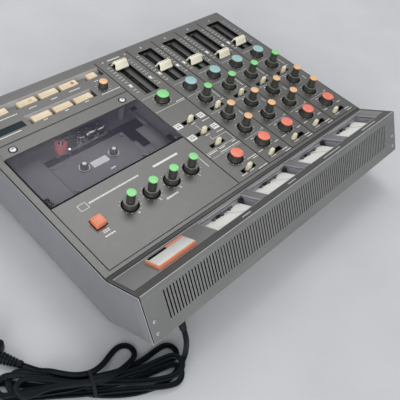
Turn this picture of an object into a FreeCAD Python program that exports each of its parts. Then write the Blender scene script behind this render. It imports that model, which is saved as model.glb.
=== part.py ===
"""Four track cassette recorder: a mixer, four meters and a cassette deck in one desktop case.

x runs to the user's right, y from the panel's front edge to the rear and z up from the panel's face.
Every piece is drawn in that panel frame, and its Placement then stands it in the part's own frame,
whose origin is the middle of the footprint on the table. All lengths are millimetres.
"""
import FreeCAD, Part
import math
import os
from types import SimpleNamespace

import Sketcher
from FreeCAD import Rotation, Vector

SIZES = {
    # case
    "width": 450, "case_deep": 65, "toe_out": 24.5, "skin": 2.5,
    "bridge_start": 282, "ridge_y": 325, "ridge_z": 26,
    "tail_y": 352.5, "tail_drop": 22, "kink_y": 290, "ridge_lip": 5,
    "side_thick": 2, "side_groove": 1.6, "groove_deep": 3, "side_bevel": 8.8,
    "step_front": 278.4, "step_wide": 3.6, "step_deep": 1.5,
    "foot_height": 8, "foot_radius": 9, "foot_taper": 1,
    "foot_inset": 31.4, "foot_front": 12, "foot_rear": 262,
    "gap": 0.3, "shaft_gap": 0.05, "taper": 0.3,
    # rear grille
    "grille_margin": 22.9, "grille_pitch": 4.05, "grille_wide": 2, "grille_long": 33.5, "grille_top": 8.5,
    "grille_open": 18, "grille_deep": 1.2,
    # control panel
    "border_left": 4.8, "border_right": 7.9, "panel_front": 6.4, "panel_rear": 274.4,
    "sheet": 1.5, "ledge": 2,
    # meter bridge, where the last three are shares of the room beside the windows and the badge
    "meter_wide": 70, "meter_low": 5.4, "meter_high": 37.4,
    "meter_deep": 12.2, "meter_wall": 1.5, "cover_thick": 1.2,
    "badge_wide": 48.9, "left_share": 0.1668, "window_share": 0.08824, "right_share": 0.3231,
    "badge_low": 12.9, "badge_high": 35, "badge_thick": 5.2,
    # mixer strips
    "strip_margin": 23.2, "master_strip": 55.6, "master_middle": 28.3,
    "input_switch_y": 263.7, "trim_y": 242.4, "treble_y": 212.5, "bass_y": 182.7,
    "aux_switch_y": 162.7, "aux_y": 141.6, "pan_y": 112, "record_switch_y": 212, "buss_switch_y": 187.6,
    "switch_long": 24.2, "switch_wide": 6.2, "switch_cap": 5, "switch_cap_long": 8.5, "switch_top": 6.5,
    "switch_drop": 4.5,
    "knob_hole": 9.5, "knob_skirt": 8.4, "knob_cap": 7.8, "knob_top": 9, "knob_sink": 1.2,
    "outer_knob": 8.3, "outer_top": 7.5, "inner_knob": 5.6, "inner_top": 20.5,
    "stem_radius": 2, "stem_grip": 3, "hub_wall": 1.2,
    "pot_wide": 14, "pot_high": 9,
    # faders
    "well_wide": 25.2, "well_front": 18.4, "well_rear": 93.6, "well_deep": 4.6, "well_slot": 5.6,
    "slot_front": 21.5, "slot_rear": 91,
    "cap_wide": 22, "cap_long": 13.4, "cap_top": 8, "cap_ridge": 3.4, "cap_wall": 1.3, "cap_foot": 3,
    "cap_neck": 6.4, "cap_waist": 2.2, "lever_wide": 1.6, "lever_long": 4, "lever_end": 10, "slider_wide": 10,
    # keys
    "key_long": 24, "key_wide": 9.6, "small_key": 12.6, "key_top": 1.2, "key_gap": 0.4, "key_travel": 3,
    "key_flange": 1, "flange_thick": 1.5, "key_well_deep": 4.5, "key_well_slope": 5.4,
    "upper_row_y": 56, "lower_row_y": 25.8, "key_first": 53.9, "key_pitch": 30,
    "left_key": 18, "right_key": 147.5, "upper_well_left": 36, "upper_well_right": 132,
    "lower_well_left": 1.5, "lower_well_end": 2.4, "well_land": 0.6,
    "power_x": 160.3, "power_y": 222.3, "power_wide": 13, "power_top": 7,
    "pitch_x": 18.9, "pitch_y": 51.2, "pitch_radius": 6, "pitch_top": 8.5,
    "cue_first": 28.5, "cue_pitch": 30.2, "cue_y": 223.4,
    "counter_left": 136.8, "counter_right": 181.8, "counter_margin": 4.8, "counter_front": 50.4, "counter_rear": 60.5,
    "counter_sink": 0.8, "counter_deep": 9,
    # cassette deck
    "deck_margin": 1.7, "deck_front": 75.6, "deck_rear": 180.4, "deck_back_wall": 181.8,
    "deck_floor": 28.5, "deck_wall": 1.5, "door_gap": 0.4, "door_thick": 3, "door_front": 95.6,
    "door_rear": 178.1, "hinge_y": 172, "hinge_drop": 7, "pin_radius": 1.5, "ear_radius": 3.4,
    "ear_long": 6.3, "arm_wide": 4, "arm_half": 3,
    "strip_front": 76, "strip_rear": 95, "strip_thick": 2.5, "strip_screw_left": 16,
    "strip_screw_end": 15.8, "strip_screw_y": 85.5, "post_radius": 4.5,
    "rest_left": 40.8, "rest_right": 146.8, "rest_front": 116, "rest_rear": 168, "rest_drop": 18,
    "spindle_left": 72.5, "spindle_right": 115, "spindle_y": 139.5, "spindle_top": 9,
    "spindle_radius": 5.3, "spindle_nose": 3, "nose_high": 2, "spindle_flange": 6.8, "flange_rim": 1,
    "spindle_shaft": 1.5,
    "capstan_x": 115.3, "capstan_y": 112, "capstan_radius": 1.25, "capstan_top": 9, "boss_radius": 3.5,
    "boss_bottom": 35.7, "wheel_radius": 34, "wheel_thick": 6,
    "carriage_left": 48.8, "carriage_right": 124.8, "carriage_front": 84, "carriage_rear": 101.4,
    "carriage_thick": 2, "head_left": 53.8, "head_right": 91.8, "head_front": 86,
    "head_top": 12, "roller_x": 114.3, "roller_y": 93.5, "roller_radius": 7.5, "roller_high": 11,
    "roller_pin": 1.5,
    # inside the case
    "board_gap": 9.4, "board_front": 10, "board_rear": 272, "board_drop": 14,
    "board_thick": 1.6, "board_notch_left": -5.2, "board_notch_front": 70, "board_notch_rear": 187,
    "standoff_radius": 4, "standoff_inset": 21.4, "standoff_front": 24, "standoff_rear": 258,
    "motor_x": 34.8, "motor_y": 130, "motor_radius": 15, "motor_gap": 1, "pulley_radius": 5,
    "belt_thick": 1, "belt_wide": 4,
    "coil_left": 94.8, "coil_right": 146.8, "coil_front": 208, "coil_rear": 252, "coil_high": 38,
    "socket_margin": 71.4, "socket_pitch": 22, "socket_low": 24, "socket_row": 24, "socket_radius": 4.1,
    "socket_nut": 6, "socket_nut_thick": 1.6, "socket_out": 9, "socket_in": 12, "socket_bore": 1.7,
    # fasteners
    "screw_head": 3.75, "screw_high": 1.2, "screw_shank": 1.5, "screw_long": 8, "cover_screw_inset": 6.4,
    "cover_screw_head": 2.2, "cover_screw_low": 27, "cover_screw_high": 41,
    # mains cord
    "cord_radius": 3.2, "gland_radius": 5.2, "gland_long": 15, "gland_flange": 8, "flange_high": 2,
    "hank_high": 17, "relief_long": 22, "relief_end": 6, "plug_wide": 25, "plug_high": 16,
    "plug_long": 30, "blade_wide": 6.4, "blade_thick": 1.5, "blade_long": 17, "blade_pitch": 12.7,
}

# these are measured along x from the deck's left edge, the rest from the case's middle
FROM_DECK = ("key_first", "left_key", "right_key", "upper_well_left", "upper_well_right", "lower_well_left",
             "power_x", "pitch_x", "cue_first", "counter_left", "counter_right", "strip_screw_left",
             "rest_left", "rest_right", "spindle_left", "spindle_right", "capstan_x", "carriage_left",
             "carriage_right", "head_left", "head_right", "roller_x", "board_notch_left", "motor_x",
             "coil_left", "coil_right")

doc = FreeCAD.newDocument("recorder")
sheet = doc.addObject("Spreadsheet::Sheet", "Sizes")
for row, (alias, value) in enumerate(SIZES.items(), start=1):
    sheet.set(f"A{row}", alias)
    sheet.set(f"B{row}", str(value))
    sheet.setAlias(f"B{row}", alias)
doc.recompute()


class Size:
    """A number from the sheet, together with the expression that binds a property to it."""

    def __init__(self, value, text):
        self.value = value
        self.text = text

    @staticmethod
    def of(other):
        return other if isinstance(other, Size) else Size(other, f"{other}")

    def __add__(self, other):
        other = Size.of(other)
        return Size(self.value + other.value, f"({self.text} + {other.text})")

    def __sub__(self, other):
        other = Size.of(other)
        return Size(self.value - other.value, f"({self.text} - {other.text})")

    def __mul__(self, other):
        other = Size.of(other)
        return Size(self.value * other.value, f"({self.text} * {other.text})")

    def __truediv__(self, other):
        other = Size.of(other)
        return Size(self.value / other.value, f"({self.text} / {other.text})")

    def __neg__(self):
        return Size(-self.value, f"(0 - {self.text})")

    def __radd__(self, other):
        return Size.of(other) + self

    def __rsub__(self, other):
        return Size.of(other) - self

    __rmul__ = __mul__


s = SimpleNamespace(**{alias: Size(float(sheet.get(alias)), f"Sizes.{alias}") for alias in SIZES})

CASE_HALF = s.width / 2 - s.side_thick - s.side_groove
PANEL_LEFT = CASE_HALF - s.border_left
PANEL_RIGHT = CASE_HALF - s.border_right
DECK_RIGHT = PANEL_RIGHT - s.deck_margin
DECK_LEFT = DECK_RIGHT - s.counter_margin - s.counter_right
ORIGIN_Y = (s.tail_y - s.toe_out) / 2
ORIGIN_Z = s.case_deep + s.foot_height
BRIDGE_RUN = s.ridge_y - s.bridge_start
BOARD_TOP = -s.board_drop
POT_TOP = s.pot_high - s.board_drop
WELL_UNDER = -(s.well_deep + s.sheet)
KEY_WELL_UNDER = -(s.key_well_deep + s.sheet)
DECK_UNDER = -(s.deck_floor + s.deck_wall)
INNER_FLOOR = s.skin - s.case_deep
for alias in FROM_DECK:
    setattr(s, alias, DECK_LEFT + getattr(s, alias))
LOWER_WELL_RIGHT = DECK_RIGHT - s.lower_well_end
STRIP_SCREWS = (s.strip_screw_left, DECK_RIGHT - s.strip_screw_end)
MASTER_X = DECK_LEFT - s.master_middle
STRIP_PITCH = (PANEL_LEFT + DECK_LEFT - s.master_strip) / 4
CHANNELS = [STRIP_PITCH * i + s.strip_margin - PANEL_LEFT for i in range(4)]
STRIPS = CHANNELS + [MASTER_X]
CUES = [s.cue_first + s.cue_pitch * i for i in range(4)]
KEYS_X = [s.key_first + s.key_pitch * i for i in range(3)]
BRIDGE_ROOM = CASE_HALF * 2 - s.meter_wide * 4 - s.badge_wide
METER_FIRST = BRIDGE_ROOM * s.left_share + s.meter_wide / 2 - CASE_HALF
METERS = [METER_FIRST + (BRIDGE_ROOM * s.window_share + s.meter_wide) * i for i in range(4)]
BADGE_RIGHT = CASE_HALF - BRIDGE_ROOM * s.right_share
FADER_REST = [75.0, 84.9, 73.0, 60.0, 27.0]
nodes = []


# ---- shared ways of making shapes ----

def bind(thing, prop, size):
    """Bind one property to the sheet."""
    thing.setExpression(prop, Size.of(size).text)


def place(thing, x=0, y=0, z=0):
    """Bind where a shape stands."""
    for axis, size in zip("xyz", (x, y, z)):
        bind(thing, "Placement.Base." + axis, size)


def box(name, x, y, z):
    """A block between two sizes along each axis."""
    block = doc.addObject("Part::Box", name)
    for side, (low, high) in zip(("Length", "Width", "Height"), (x, y, z)):
        bind(block, side, high - low)
    place(block, x[0], y[0], z[0])
    return block


def rod(name, radius, x, y, z, end=None):
    """An upright round bar, or a cone where its far end has another radius."""
    kind = "Part::Cylinder" if end is None else "Part::Cone"
    bar = doc.addObject(kind, name)
    if end is None:
        bind(bar, "Radius", radius)
    else:
        bind(bar, "Radius1", radius)
        bind(bar, "Radius2", end)
    bind(bar, "Height", z[1] - z[0])
    place(bar, x, y, z[0])
    return bar


def rod_across(name, radius, x, y, z):
    """A round bar along x."""
    bar = doc.addObject("Part::Cylinder", name)
    bind(bar, "Radius", radius)
    bind(bar, "Height", x[1] - x[0])
    bar.Placement.Rotation = Rotation(Vector(0, 1, 0), 90)
    place(bar, x[0], y, z)
    return bar


def group(name, members):
    """Separate solids kept together."""
    held = doc.addObject("Part::Compound", name)
    held.Links = members
    return held


def fuse(name, members):
    joined = doc.addObject("Part::MultiFuse", name)
    joined.Shapes = members
    return joined


def cut(name, base, tools):
    """The base less the tools, which stay clear of each other."""
    left = doc.addObject("Part::Cut", name)
    left.Base = base
    left.Tool = tools[0] if len(tools) == 1 else group(name + "_tools", tools)
    return left


def outline(body, role, corners):
    """A closed outline on one of the body's own planes, with every corner bound to the sheet."""
    sketch = body.newObject("Sketcher::SketchObject", body.Name + "_outline")
    plane = [feature for feature in body.Origin.OriginFeatures if feature.Role == role][0]
    sketch.AttachmentSupport = [(plane, "")]
    sketch.MapMode = "FlatFace"
    corners = [(Size.of(u), Size.of(v)) for u, v in corners]
    points = [Vector(u.value, v.value, 0) for u, v in corners]
    lines = [Part.LineSegment(a, b) for a, b in zip(points, points[1:] + points[:1])]
    sketch.addGeometry(lines, False)
    for i in range(len(lines)):
        sketch.addConstraint(Sketcher.Constraint("Coincident", i, 2, (i + 1) % len(lines), 1))
    for i, (u, v) in enumerate(corners):
        for kind, size in (("DistanceX", u), ("DistanceY", v)):
            index = sketch.addConstraint(Sketcher.Constraint(kind, -1, 1, i, 1, size.value))
            sketch.renameConstraint(index, f"{kind}{i}")
            bind(sketch, f"Constraints.{kind}{i}", size)
    return sketch


def slab(name, corners, half):
    """A side outline in y and z, padded to both sides of the middle plane."""
    body = doc.addObject("PartDesign::Body", name)
    pad = body.newObject("PartDesign::Pad", name + "_pad")
    pad.Profile = outline(body, "YZ_Plane", corners)
    pad.Midplane = True
    bind(pad, "Length", half * 2)
    return body


def turned(name, x, y, corners):
    """An outline of radius and height, revolved about an upright axis."""
    body = doc.addObject("PartDesign::Body", name)
    sketch = outline(body, "XZ_Plane", corners)
    revolution = body.newObject("PartDesign::Revolution", name + "_turn")
    revolution.Profile = sketch
    revolution.ReferenceAxis = (sketch, ["V_Axis"])
    revolution.Angle = 360
    place(body, x, y, 0)
    return body


def node(name, thing, x=0, y=0, z=0):
    """Name a finished piece and stand it in the part's own frame, moved on by x, y and z."""
    thing.Label = name
    place(thing, x, y - ORIGIN_Y, z + ORIGIN_Z)
    nodes.append(thing)
    return thing


def shaped(name, shape):
    """A piece whose shape is made with Part's own functions from the sheet's sizes."""
    thing = doc.addObject("Part::Feature", name + "_shape")
    thing.Shape = Part.makeCompound([shape])
    return node(name, thing)


# ---- the case's side outline ----

def corner(y, z):
    return Vector(0, y, z)


OUTER = [corner(-s.toe_out.value, -s.case_deep.value), corner(0, 0), corner(s.bridge_start.value, 0),
         corner(s.ridge_y.value, s.ridge_z.value), corner(s.tail_y.value, -s.tail_drop.value),
         corner(s.kink_y.value, -s.case_deep.value)]


def inset(points, depth):
    """A closed outline moved inwards by a depth, each side parallel to the old one."""
    moved = []
    for before, here, after in zip(points[-1:] + points[:-1], points, points[1:] + points[:1]):
        into = (here - before).normalize()
        out = (after - here).normalize()
        first = Vector(0, into.z, -into.y)
        second = Vector(0, out.z, -out.y)
        moved.append(here + (first + second) * (depth / (1 + first.dot(second))))
    return moved


def along(start, end, distance):
    return start + (end - start).normalize() * distance


def meet(a, b, c, d):
    """Where the line through a and b crosses the line through c and d."""
    first = b - a
    second = d - c
    apart = c - a
    share = (apart.y * second.z - apart.z * second.y) / (first.y * second.z - first.z * second.y)
    return a + first * share


def loop(points, x):
    lifted = [Vector(x, point.y, point.z) for point in points]
    return Part.makePolygon(lifted + lifted[:1])


def prism(points, low, high):
    return Part.Face(loop(points, low)).extrude(Vector(high - low, 0, 0))


# ---- case ----

def slope_turn():
    """The turn that lays a flat drawing on the meter bridge, y running up its slope and z outwards."""
    return Rotation(Vector(1, 0, 0), math.degrees(math.atan2(s.ridge_z.value, BRIDGE_RUN.value)))


def on_slope(name, members):
    """A group drawn flat and laid on the meter bridge, from the foot of its slope."""
    held = group(name, members)
    held.Placement.Rotation = slope_turn()
    return held


def meter_span(x, grow=0):
    return (x - s.meter_wide / 2 - grow, x + s.meter_wide / 2 + grow)


def case_frame():
    """Front, border, meter bridge and ridge in one moulding, open at the rear and below."""
    inner = inset(OUTER, s.skin.value)
    lip = s.ridge_lip.value
    section = OUTER[:4] + [along(OUTER[3], OUTER[4], lip), along(inner[3], inner[4], lip - s.skin.value)]
    section += [inner[3], inner[2], inner[1], meet(inner[1], inner[0], OUTER[0], OUTER[5])]
    shell = doc.addObject("Part::Feature", "case_shell")
    shell.Shape = prism(section, -CASE_HALF.value, CASE_HALF.value)
    rim_x = (-(PANEL_LEFT + s.ledge), PANEL_RIGHT + s.ledge)
    rim_y = (s.panel_front - s.ledge, s.panel_rear + s.ledge)
    rim = box("panel_rim", rim_x, rim_y, (-(s.sheet + s.skin), -s.skin / 2))
    solid = fuse("case_solid", [shell, rim])
    hole_x = (-(PANEL_LEFT + s.gap), PANEL_RIGHT + s.gap)
    hole_y = (s.panel_front - s.gap, s.panel_rear + s.gap)
    panel_seat = box("panel_seat", hole_x, hole_y, (-s.sheet, s.skin))
    through_x = (s.ledge - PANEL_LEFT, PANEL_RIGHT - s.ledge)
    through = box("panel_through", through_x, (s.panel_front + s.ledge, s.panel_rear - s.ledge),
                  (-s.case_deep / 2, -s.sheet))
    deck_notch = box("deck_notch", (PANEL_RIGHT - s.ledge, PANEL_RIGHT + s.gap),
                     (s.deck_front - s.deck_wall - s.gap, s.deck_back_wall + s.deck_wall + s.gap),
                     (-s.case_deep / 2, -s.sheet))
    step = box("step", (-CASE_HALF, CASE_HALF), (s.step_front, s.step_front + s.step_wide),
               (-s.step_deep, s.skin))
    windows = [box(f"window_{i}", meter_span(x), (s.meter_low, s.meter_high), (-s.skin * 2, s.skin))
               for i, x in enumerate(METERS)]
    openings = on_slope("windows", windows)
    place(openings, 0, s.bridge_start, 0)
    tools = fuse("case_openings", [panel_seat, through, deck_notch, step, openings])
    node("case_frame", cut("case_frame_body", solid, [tools]))


def side_panels():
    """A stepped plate at each end, whose outer edge is bevelled all round."""
    half = s.width.value / 2
    groove = inset(OUTER, s.groove_deep.value)
    bevelled = inset(OUTER, s.side_bevel.value)
    outside = half - s.side_thick.value
    core = prism(groove, CASE_HALF.value, outside)
    plate = Part.makeLoft([loop(OUTER, outside), loop(bevelled, half)], True, True)
    right = core.fuse(plate).removeSplitter()
    shaped("right_side_panel", right)
    shaped("left_side_panel", right.mirror(Vector(0, 0, 0), Vector(1, 0, 0)))


def rear_frame():
    """Where the rear face starts below the ridge's lip, and how it leans."""
    start = along(OUTER[3], OUTER[4], s.ridge_lip.value + s.gap.value)
    lean = math.degrees(math.atan2(OUTER[4].y - OUTER[3].y, OUTER[3].z - OUTER[4].z))
    return start, lean


def rear_cover():
    """A plate drawn flat, x across and y down its face, with open and blind slots."""
    start, lean = rear_frame()
    long = (OUTER[4] - start).Length
    plate = box("rear_plate", (-CASE_HALF, CASE_HALF), (Size.of(0), Size.of(long)), (Size.of(0), s.skin))
    slots = []
    count = int((CASE_HALF.value - s.grille_margin.value) * 2 / s.grille_pitch.value)
    first = s.grille_pitch * ((1 - count) / 2)
    top = s.grille_top - s.ridge_lip - s.gap
    for i in range(count):
        x = first + s.grille_pitch * i
        is_open = i >= count - s.grille_open.value
        depth = s.skin if is_open else s.grille_deep
        slots.append(box(f"slot_{i}", (x - s.grille_wide / 2, x + s.grille_wide / 2),
                         (top, top + s.grille_long), (s.skin - depth, s.skin)))
    for x, y, i in cover_screws():
        slots.append(rod(f"cover_hole_{i}", s.screw_shank + s.shaft_gap, x, y, (Size.of(0), s.skin)))
    cover = cut("rear_cover_body", plate, slots)
    cover.Placement.Rotation = rear_turn()
    back = Vector(0, math.cos(math.radians(lean)), math.sin(math.radians(lean))) * s.skin.value
    corner_at = start - back
    node("rear_cover", cover, 0, corner_at.y, corner_at.z)


def rear_turn():
    """The turn that lays a flat drawing on the rear face, with y running down it."""
    _, lean = rear_frame()
    return Rotation(Vector(1, 0, 0), lean - 90)


def cover_screws():
    """x and y on the rear cover's own drawing."""
    reach = CASE_HALF - s.cover_screw_inset
    spots = [(reach * side, y) for side in (1, -1) for y in (s.cover_screw_low, s.cover_screw_high)]
    return [(x, y, i) for i, (x, y) in enumerate(spots)]


def bottom_cover():
    """The floor and the slanted rear underside in one folded plate, with standoffs for the board."""
    inner = inset(OUTER, s.skin.value)
    gap = Vector(0, s.gap.value, 0)
    front = meet(inner[1], inner[0], OUTER[0], OUTER[5])
    rear = meet(inner[3], inner[4], OUTER[4], OUTER[5])
    section = [rear, OUTER[5], front + gap, inner[0] + gap, inner[5], inner[4]]
    plate = doc.addObject("Part::Feature", "floor_plate")
    plate.Shape = prism(section, -CASE_HALF.value, CASE_HALF.value)
    posts = []
    for i, (x, y) in enumerate(standoffs()):
        posts.append(rod(f"standoff_{i}", s.standoff_radius, x, y,
                         (INNER_FLOOR - s.gap, BOARD_TOP - s.board_thick)))
    holes = [rod(f"socket_hole_{i}", s.socket_radius + s.gap, x, y, (-s.skin * 2, s.skin * 2))
             for i, (x, y) in enumerate(sockets())]
    holes.append(rod("cord_hole", s.gland_radius + s.gap, Size.of(GLAND_X), Size.of(GLAND_ALONG),
                     (-s.skin * 2, s.skin * 2)))
    drilled = group("underside_holes", holes)
    lay_under(drilled)
    node("bottom_cover", cut("bottom_cover_body", fuse("bottom_solid", [plate] + posts), [drilled]))


def standoffs():
    reach = CASE_HALF - s.standoff_inset
    across = (-reach, Size.of(0), reach)
    return [(x, y) for x in across for y in (s.standoff_front, s.standoff_rear)]


# ---- the slanted rear underside carries the sockets and the cord's gland ----

GLAND_X = 182.0
GLAND_ALONG = 9.85


def under_turn():
    """The turn that lays a flat drawing on the slanted underside, y running down it and z outwards."""
    down = OUTER[5] - OUTER[4]
    angle = math.degrees(math.atan2(-down.z, down.y))
    return Rotation(Vector(1, 0, 0), -angle)


def lay_under(thing):
    thing.Placement.Rotation = under_turn()
    place(thing, 0, s.tail_y, -s.tail_drop)
    return thing


def sockets():
    """Two rows of line sockets, x and y on the slanted underside's own drawing."""
    return [(s.socket_pitch * i + s.socket_margin - CASE_HALF, s.socket_low + s.socket_row * row)
            for row in range(2) for i in range(8)]


def line_sockets():
    """Phono sockets: a barrel through the cover and a nut outside."""
    made = []
    for i, (x, y) in enumerate(sockets()):
        barrel = rod(f"socket_barrel_{i}", s.socket_radius, x, y, (-s.socket_in, s.socket_out))
        nut = rod(f"socket_nut_{i}", s.socket_nut, x, y, (Size.of(0), s.socket_nut_thick))
        solid = fuse(f"socket_solid_{i}", [barrel, nut])
        bore = rod(f"socket_bore_{i}", s.socket_bore, x, y, (Size.of(0), s.socket_out))
        made.append(cut(f"socket_{i}", solid, [bore]))
    held = group("line_sockets_group", made)
    held.Placement.Rotation = under_turn()
    node("line_sockets", held, 0, s.tail_y, -s.tail_drop)


def cord_gland():
    """A tapered strain relief through the slanted underside."""
    x, y = Size.of(GLAND_X), Size.of(GLAND_ALONG)
    relief = rod("relief", s.gland_radius, x, y, (-s.skin * 2, s.gland_long), s.cord_radius + s.gap)
    flange = rod("relief_flange", s.gland_flange, x, y, (Size.of(0), s.flange_high))
    gland = fuse("cord_gland_body", [relief, flange])
    gland.Placement.Rotation = under_turn()
    node("cord_gland", gland, 0, s.tail_y, -s.tail_drop)


def feet():
    made = []
    for i, (side, y) in enumerate([(a, b) for a in (-1, 1) for b in (s.foot_front, s.foot_rear)]):
        made.append(rod(f"foot_{i}", s.foot_radius - s.foot_taper, (CASE_HALF - s.foot_inset) * side, y,
                        (-(s.case_deep + s.foot_height), -s.case_deep), s.foot_radius))
    node("rubber_feet", group("feet_group", made))


def screws():
    """Chrome screws of the deck's strip, and those of the rear cover."""
    made = []
    for i, x in enumerate(STRIP_SCREWS):
        head = rod(f"strip_head_{i}", s.screw_head, x, s.strip_screw_y, (Size.of(0), s.screw_high))
        shank = rod(f"strip_shank_{i}", s.screw_shank, x, s.strip_screw_y, (-s.screw_long, Size.of(0)))
        made.append(fuse(f"strip_screw_{i}", [head, shank]))
    start, _ = rear_frame()
    for x, y, i in cover_screws():
        head = rod(f"cover_head_{i}", s.cover_screw_head, x, y, (Size.of(0), s.screw_high))
        shank = rod(f"cover_shank_{i}", s.screw_shank, x, y, (-s.screw_long, Size.of(0)))
        screw = fuse(f"cover_screw_{i}", [head, shank])
        screw.Placement.Rotation = rear_turn()
        place(screw, 0, start.y, start.z)
        made.append(screw)
    node("case_screws", group("screws_group", made))


# ---- meter bridge ----

def meters():
    """Behind each window a tray with its scale plate as the floor, and a clear cover on its rim."""
    pieces = []
    wall = s.meter_wall
    rim = -(s.skin + s.cover_thick)
    for i, x in enumerate(METERS):
        span = (s.meter_low - wall, s.meter_high + wall)
        outer = box(f"tray_{i}", meter_span(x, wall), span, (-(s.meter_deep + wall), rim))
        inner = box(f"tray_room_{i}", meter_span(x), (s.meter_low, s.meter_high), (-s.meter_deep, Size.of(0)))
        pieces.append(cut(f"meter_{i}", outer, [inner]))
        pieces.append(box(f"cover_{i}", meter_span(x, wall), span, (rim, -s.skin)))
    node("level_meters", on_slope("meters_group", pieces), 0, s.bridge_start, 0)


def badge():
    """A raised bare plate beside the meters."""
    plate = box("badge_block", (BADGE_RIGHT - s.badge_wide, BADGE_RIGHT), (s.badge_low, s.badge_high),
                (Size.of(0), s.badge_thick))
    node("badge_plate", on_slope("badge_group", [plate]), 0, s.bridge_start, 0)


# ---- control panel ----

def single_knobs():
    """Name, place and sizes of the knobs that turn on one shaft."""
    knobs = [(f"trim_knob_{i + 1}", x, s.trim_y) for i, x in enumerate(CHANNELS)]
    knobs.append(("trim_knob_master", MASTER_X, s.trim_y))
    knobs += [(f"pan_knob_{i + 1}", x, s.pan_y) for i, x in enumerate(CHANNELS)]
    knobs.append(("level_knob_master", MASTER_X, s.pan_y))
    return knobs


def double_knobs():
    """Places of the knobs with an outer and an inner ring on the mixer."""
    return [(x, y) for x in CHANNELS for y in (s.treble_y, s.bass_y, s.aux_y)]


def cue_knobs():
    return [(x, s.cue_y) for x in CUES]


def switches():
    spots = [(x, y) for x in CHANNELS for y in (s.input_switch_y, s.aux_switch_y)]
    spots += [(MASTER_X, y) for y in (s.input_switch_y, s.record_switch_y, s.buss_switch_y, s.aux_switch_y)]
    return spots


def full_keys():
    """Name, middle and length of each transport key."""
    keys = [(name, x, s.upper_row_y, s.key_long)
            for name, x in zip(("rewind_key", "fast_forward_key", "stop_key"), KEYS_X)]
    keys += [(name, x, s.lower_row_y, s.key_long)
             for name, x in zip(("record_key", "play_key", "pause_key"), KEYS_X)]
    keys += [("zero_key", s.left_key, s.lower_row_y, s.small_key),
             ("memo_key", s.right_key, s.lower_row_y, s.small_key)]
    return keys


def fader_well(i, x):
    half = s.well_wide / 2 + s.sheet
    return box(f"well_{i}", (x - half, x + half), (s.well_front - s.sheet, s.well_rear + s.sheet),
               (WELL_UNDER, -s.sheet / 2))


def key_wells():
    """Blocks of the two pressed key wells and the sloped rooms cut into them."""
    blocks = []
    rooms = []
    rows = ((s.upper_well_left, s.upper_well_right, s.upper_row_y),
            (s.lower_well_left, LOWER_WELL_RIGHT, s.lower_row_y))
    for i, (left, right, y) in enumerate(rows):
        rear = y + s.key_wide / 2 + s.key_gap + s.well_land
        floor_front = y - s.key_wide / 2 - s.key_gap - s.well_land / 3
        front = floor_front - s.key_well_slope
        blocks.append(box(f"key_well_{i}", (left - s.sheet, right + s.sheet),
                          (front - s.sheet, rear + s.sheet), (KEY_WELL_UNDER, -s.sheet / 2)))
        body = slab(f"key_room_{i}", [(front, 0), (floor_front, -s.key_well_deep), (rear, -s.key_well_deep),
                                      (rear, s.sheet), (front, s.sheet)], (right - left) / 2)
        place(body, (left + right) / 2, 0, 0)
        rooms.append(body)
    return blocks, rooms


def panel_tools():
    """Everything that is cut out of the panel."""
    deep = -s.case_deep / 2
    tools = []
    for i, x in enumerate(STRIPS):
        tools.append(fuse(f"fader_room_{i}", [
            box(f"fader_trough_{i}", (x - s.well_wide / 2, x + s.well_wide / 2), (s.well_front, s.well_rear),
                (-s.well_deep, s.sheet)),
            box(f"fader_slot_{i}", (x - s.well_slot / 2, x + s.well_slot / 2), (s.slot_front, s.slot_rear),
                (deep, Size.of(0)))]))
    holes = [(x, y) for _, x, y in single_knobs()] + double_knobs() + cue_knobs()
    for i, (x, y) in enumerate(holes):
        tools.append(rod(f"knob_hole_{i}", s.knob_hole, x, y, (deep, s.sheet)))
    for i, (x, y) in enumerate(switches()):
        tools.append(box(f"switch_slot_{i}", (x - s.switch_long / 2, x + s.switch_long / 2),
                         (y - s.switch_wide / 2, y + s.switch_wide / 2), (deep, s.sheet)))
    tools.append(rod("pitch_hole", s.pitch_radius + s.well_land, s.pitch_x, s.pitch_y, (deep, s.sheet)))
    hole = s.power_wide / 2 + s.key_gap
    tools.append(box("power_hole", (s.power_x - hole, s.power_x + hole), (s.power_y - hole, s.power_y + hole),
                     (deep, s.sheet)))
    tools.append(box("counter_hole", (s.counter_left - s.gap, s.counter_right + s.gap),
                     (s.counter_front - s.gap, s.counter_rear + s.gap), (deep, s.sheet)))
    tools.append(box("deck_hole", (DECK_LEFT, DECK_RIGHT), (s.deck_front, s.deck_rear), (deep, s.sheet)))
    return tools


def control_panel():
    """The pressed sheet that carries the mixer and frames the deck."""
    plate = box("panel_plate", (-PANEL_LEFT, PANEL_RIGHT), (s.panel_front, s.panel_rear),
                (-s.sheet, Size.of(0)))
    blocks, rooms = key_wells()
    wells = [fader_well(i, x) for i, x in enumerate(STRIPS)]
    solid = fuse("panel_solid", [plate] + blocks + wells)
    key_holes = []
    for name, x, y, long in full_keys():
        key_holes.append(box(name + "_hole", (x - long / 2 - s.key_gap, x + long / 2 + s.key_gap),
                             (y - s.key_wide / 2 - s.key_gap, y + s.key_wide / 2 + s.key_gap),
                             (-s.case_deep / 2, Size.of(0))))
    pierced = cut("panel_pierced", solid, panel_tools() + rooms)
    node("control_panel", cut("control_panel_body", pierced, key_holes))


# ---- knobs, switches and faders ----

def knobs():
    """Single knobs, each with its stem in a pot's bore."""
    stem_end = POT_TOP - s.stem_grip
    for name, x, y in single_knobs():
        body = turned(name + "_body", x, y, [
            (0, stem_end), (s.stem_radius, stem_end), (s.stem_radius, -s.knob_sink),
            (s.knob_skirt, -s.knob_sink), (s.knob_skirt, 0), (s.knob_cap, s.knob_top), (0, s.knob_top)])
        node(name, body, x, y)


def inner_profile(top, radius):
    stem_end = POT_TOP - s.stem_grip
    foot = s.outer_top + s.gap
    return [(0, stem_end), (s.stem_radius, stem_end), (s.stem_radius, foot), (radius, foot),
            (radius - s.taper, top), (0, top)]


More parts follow.
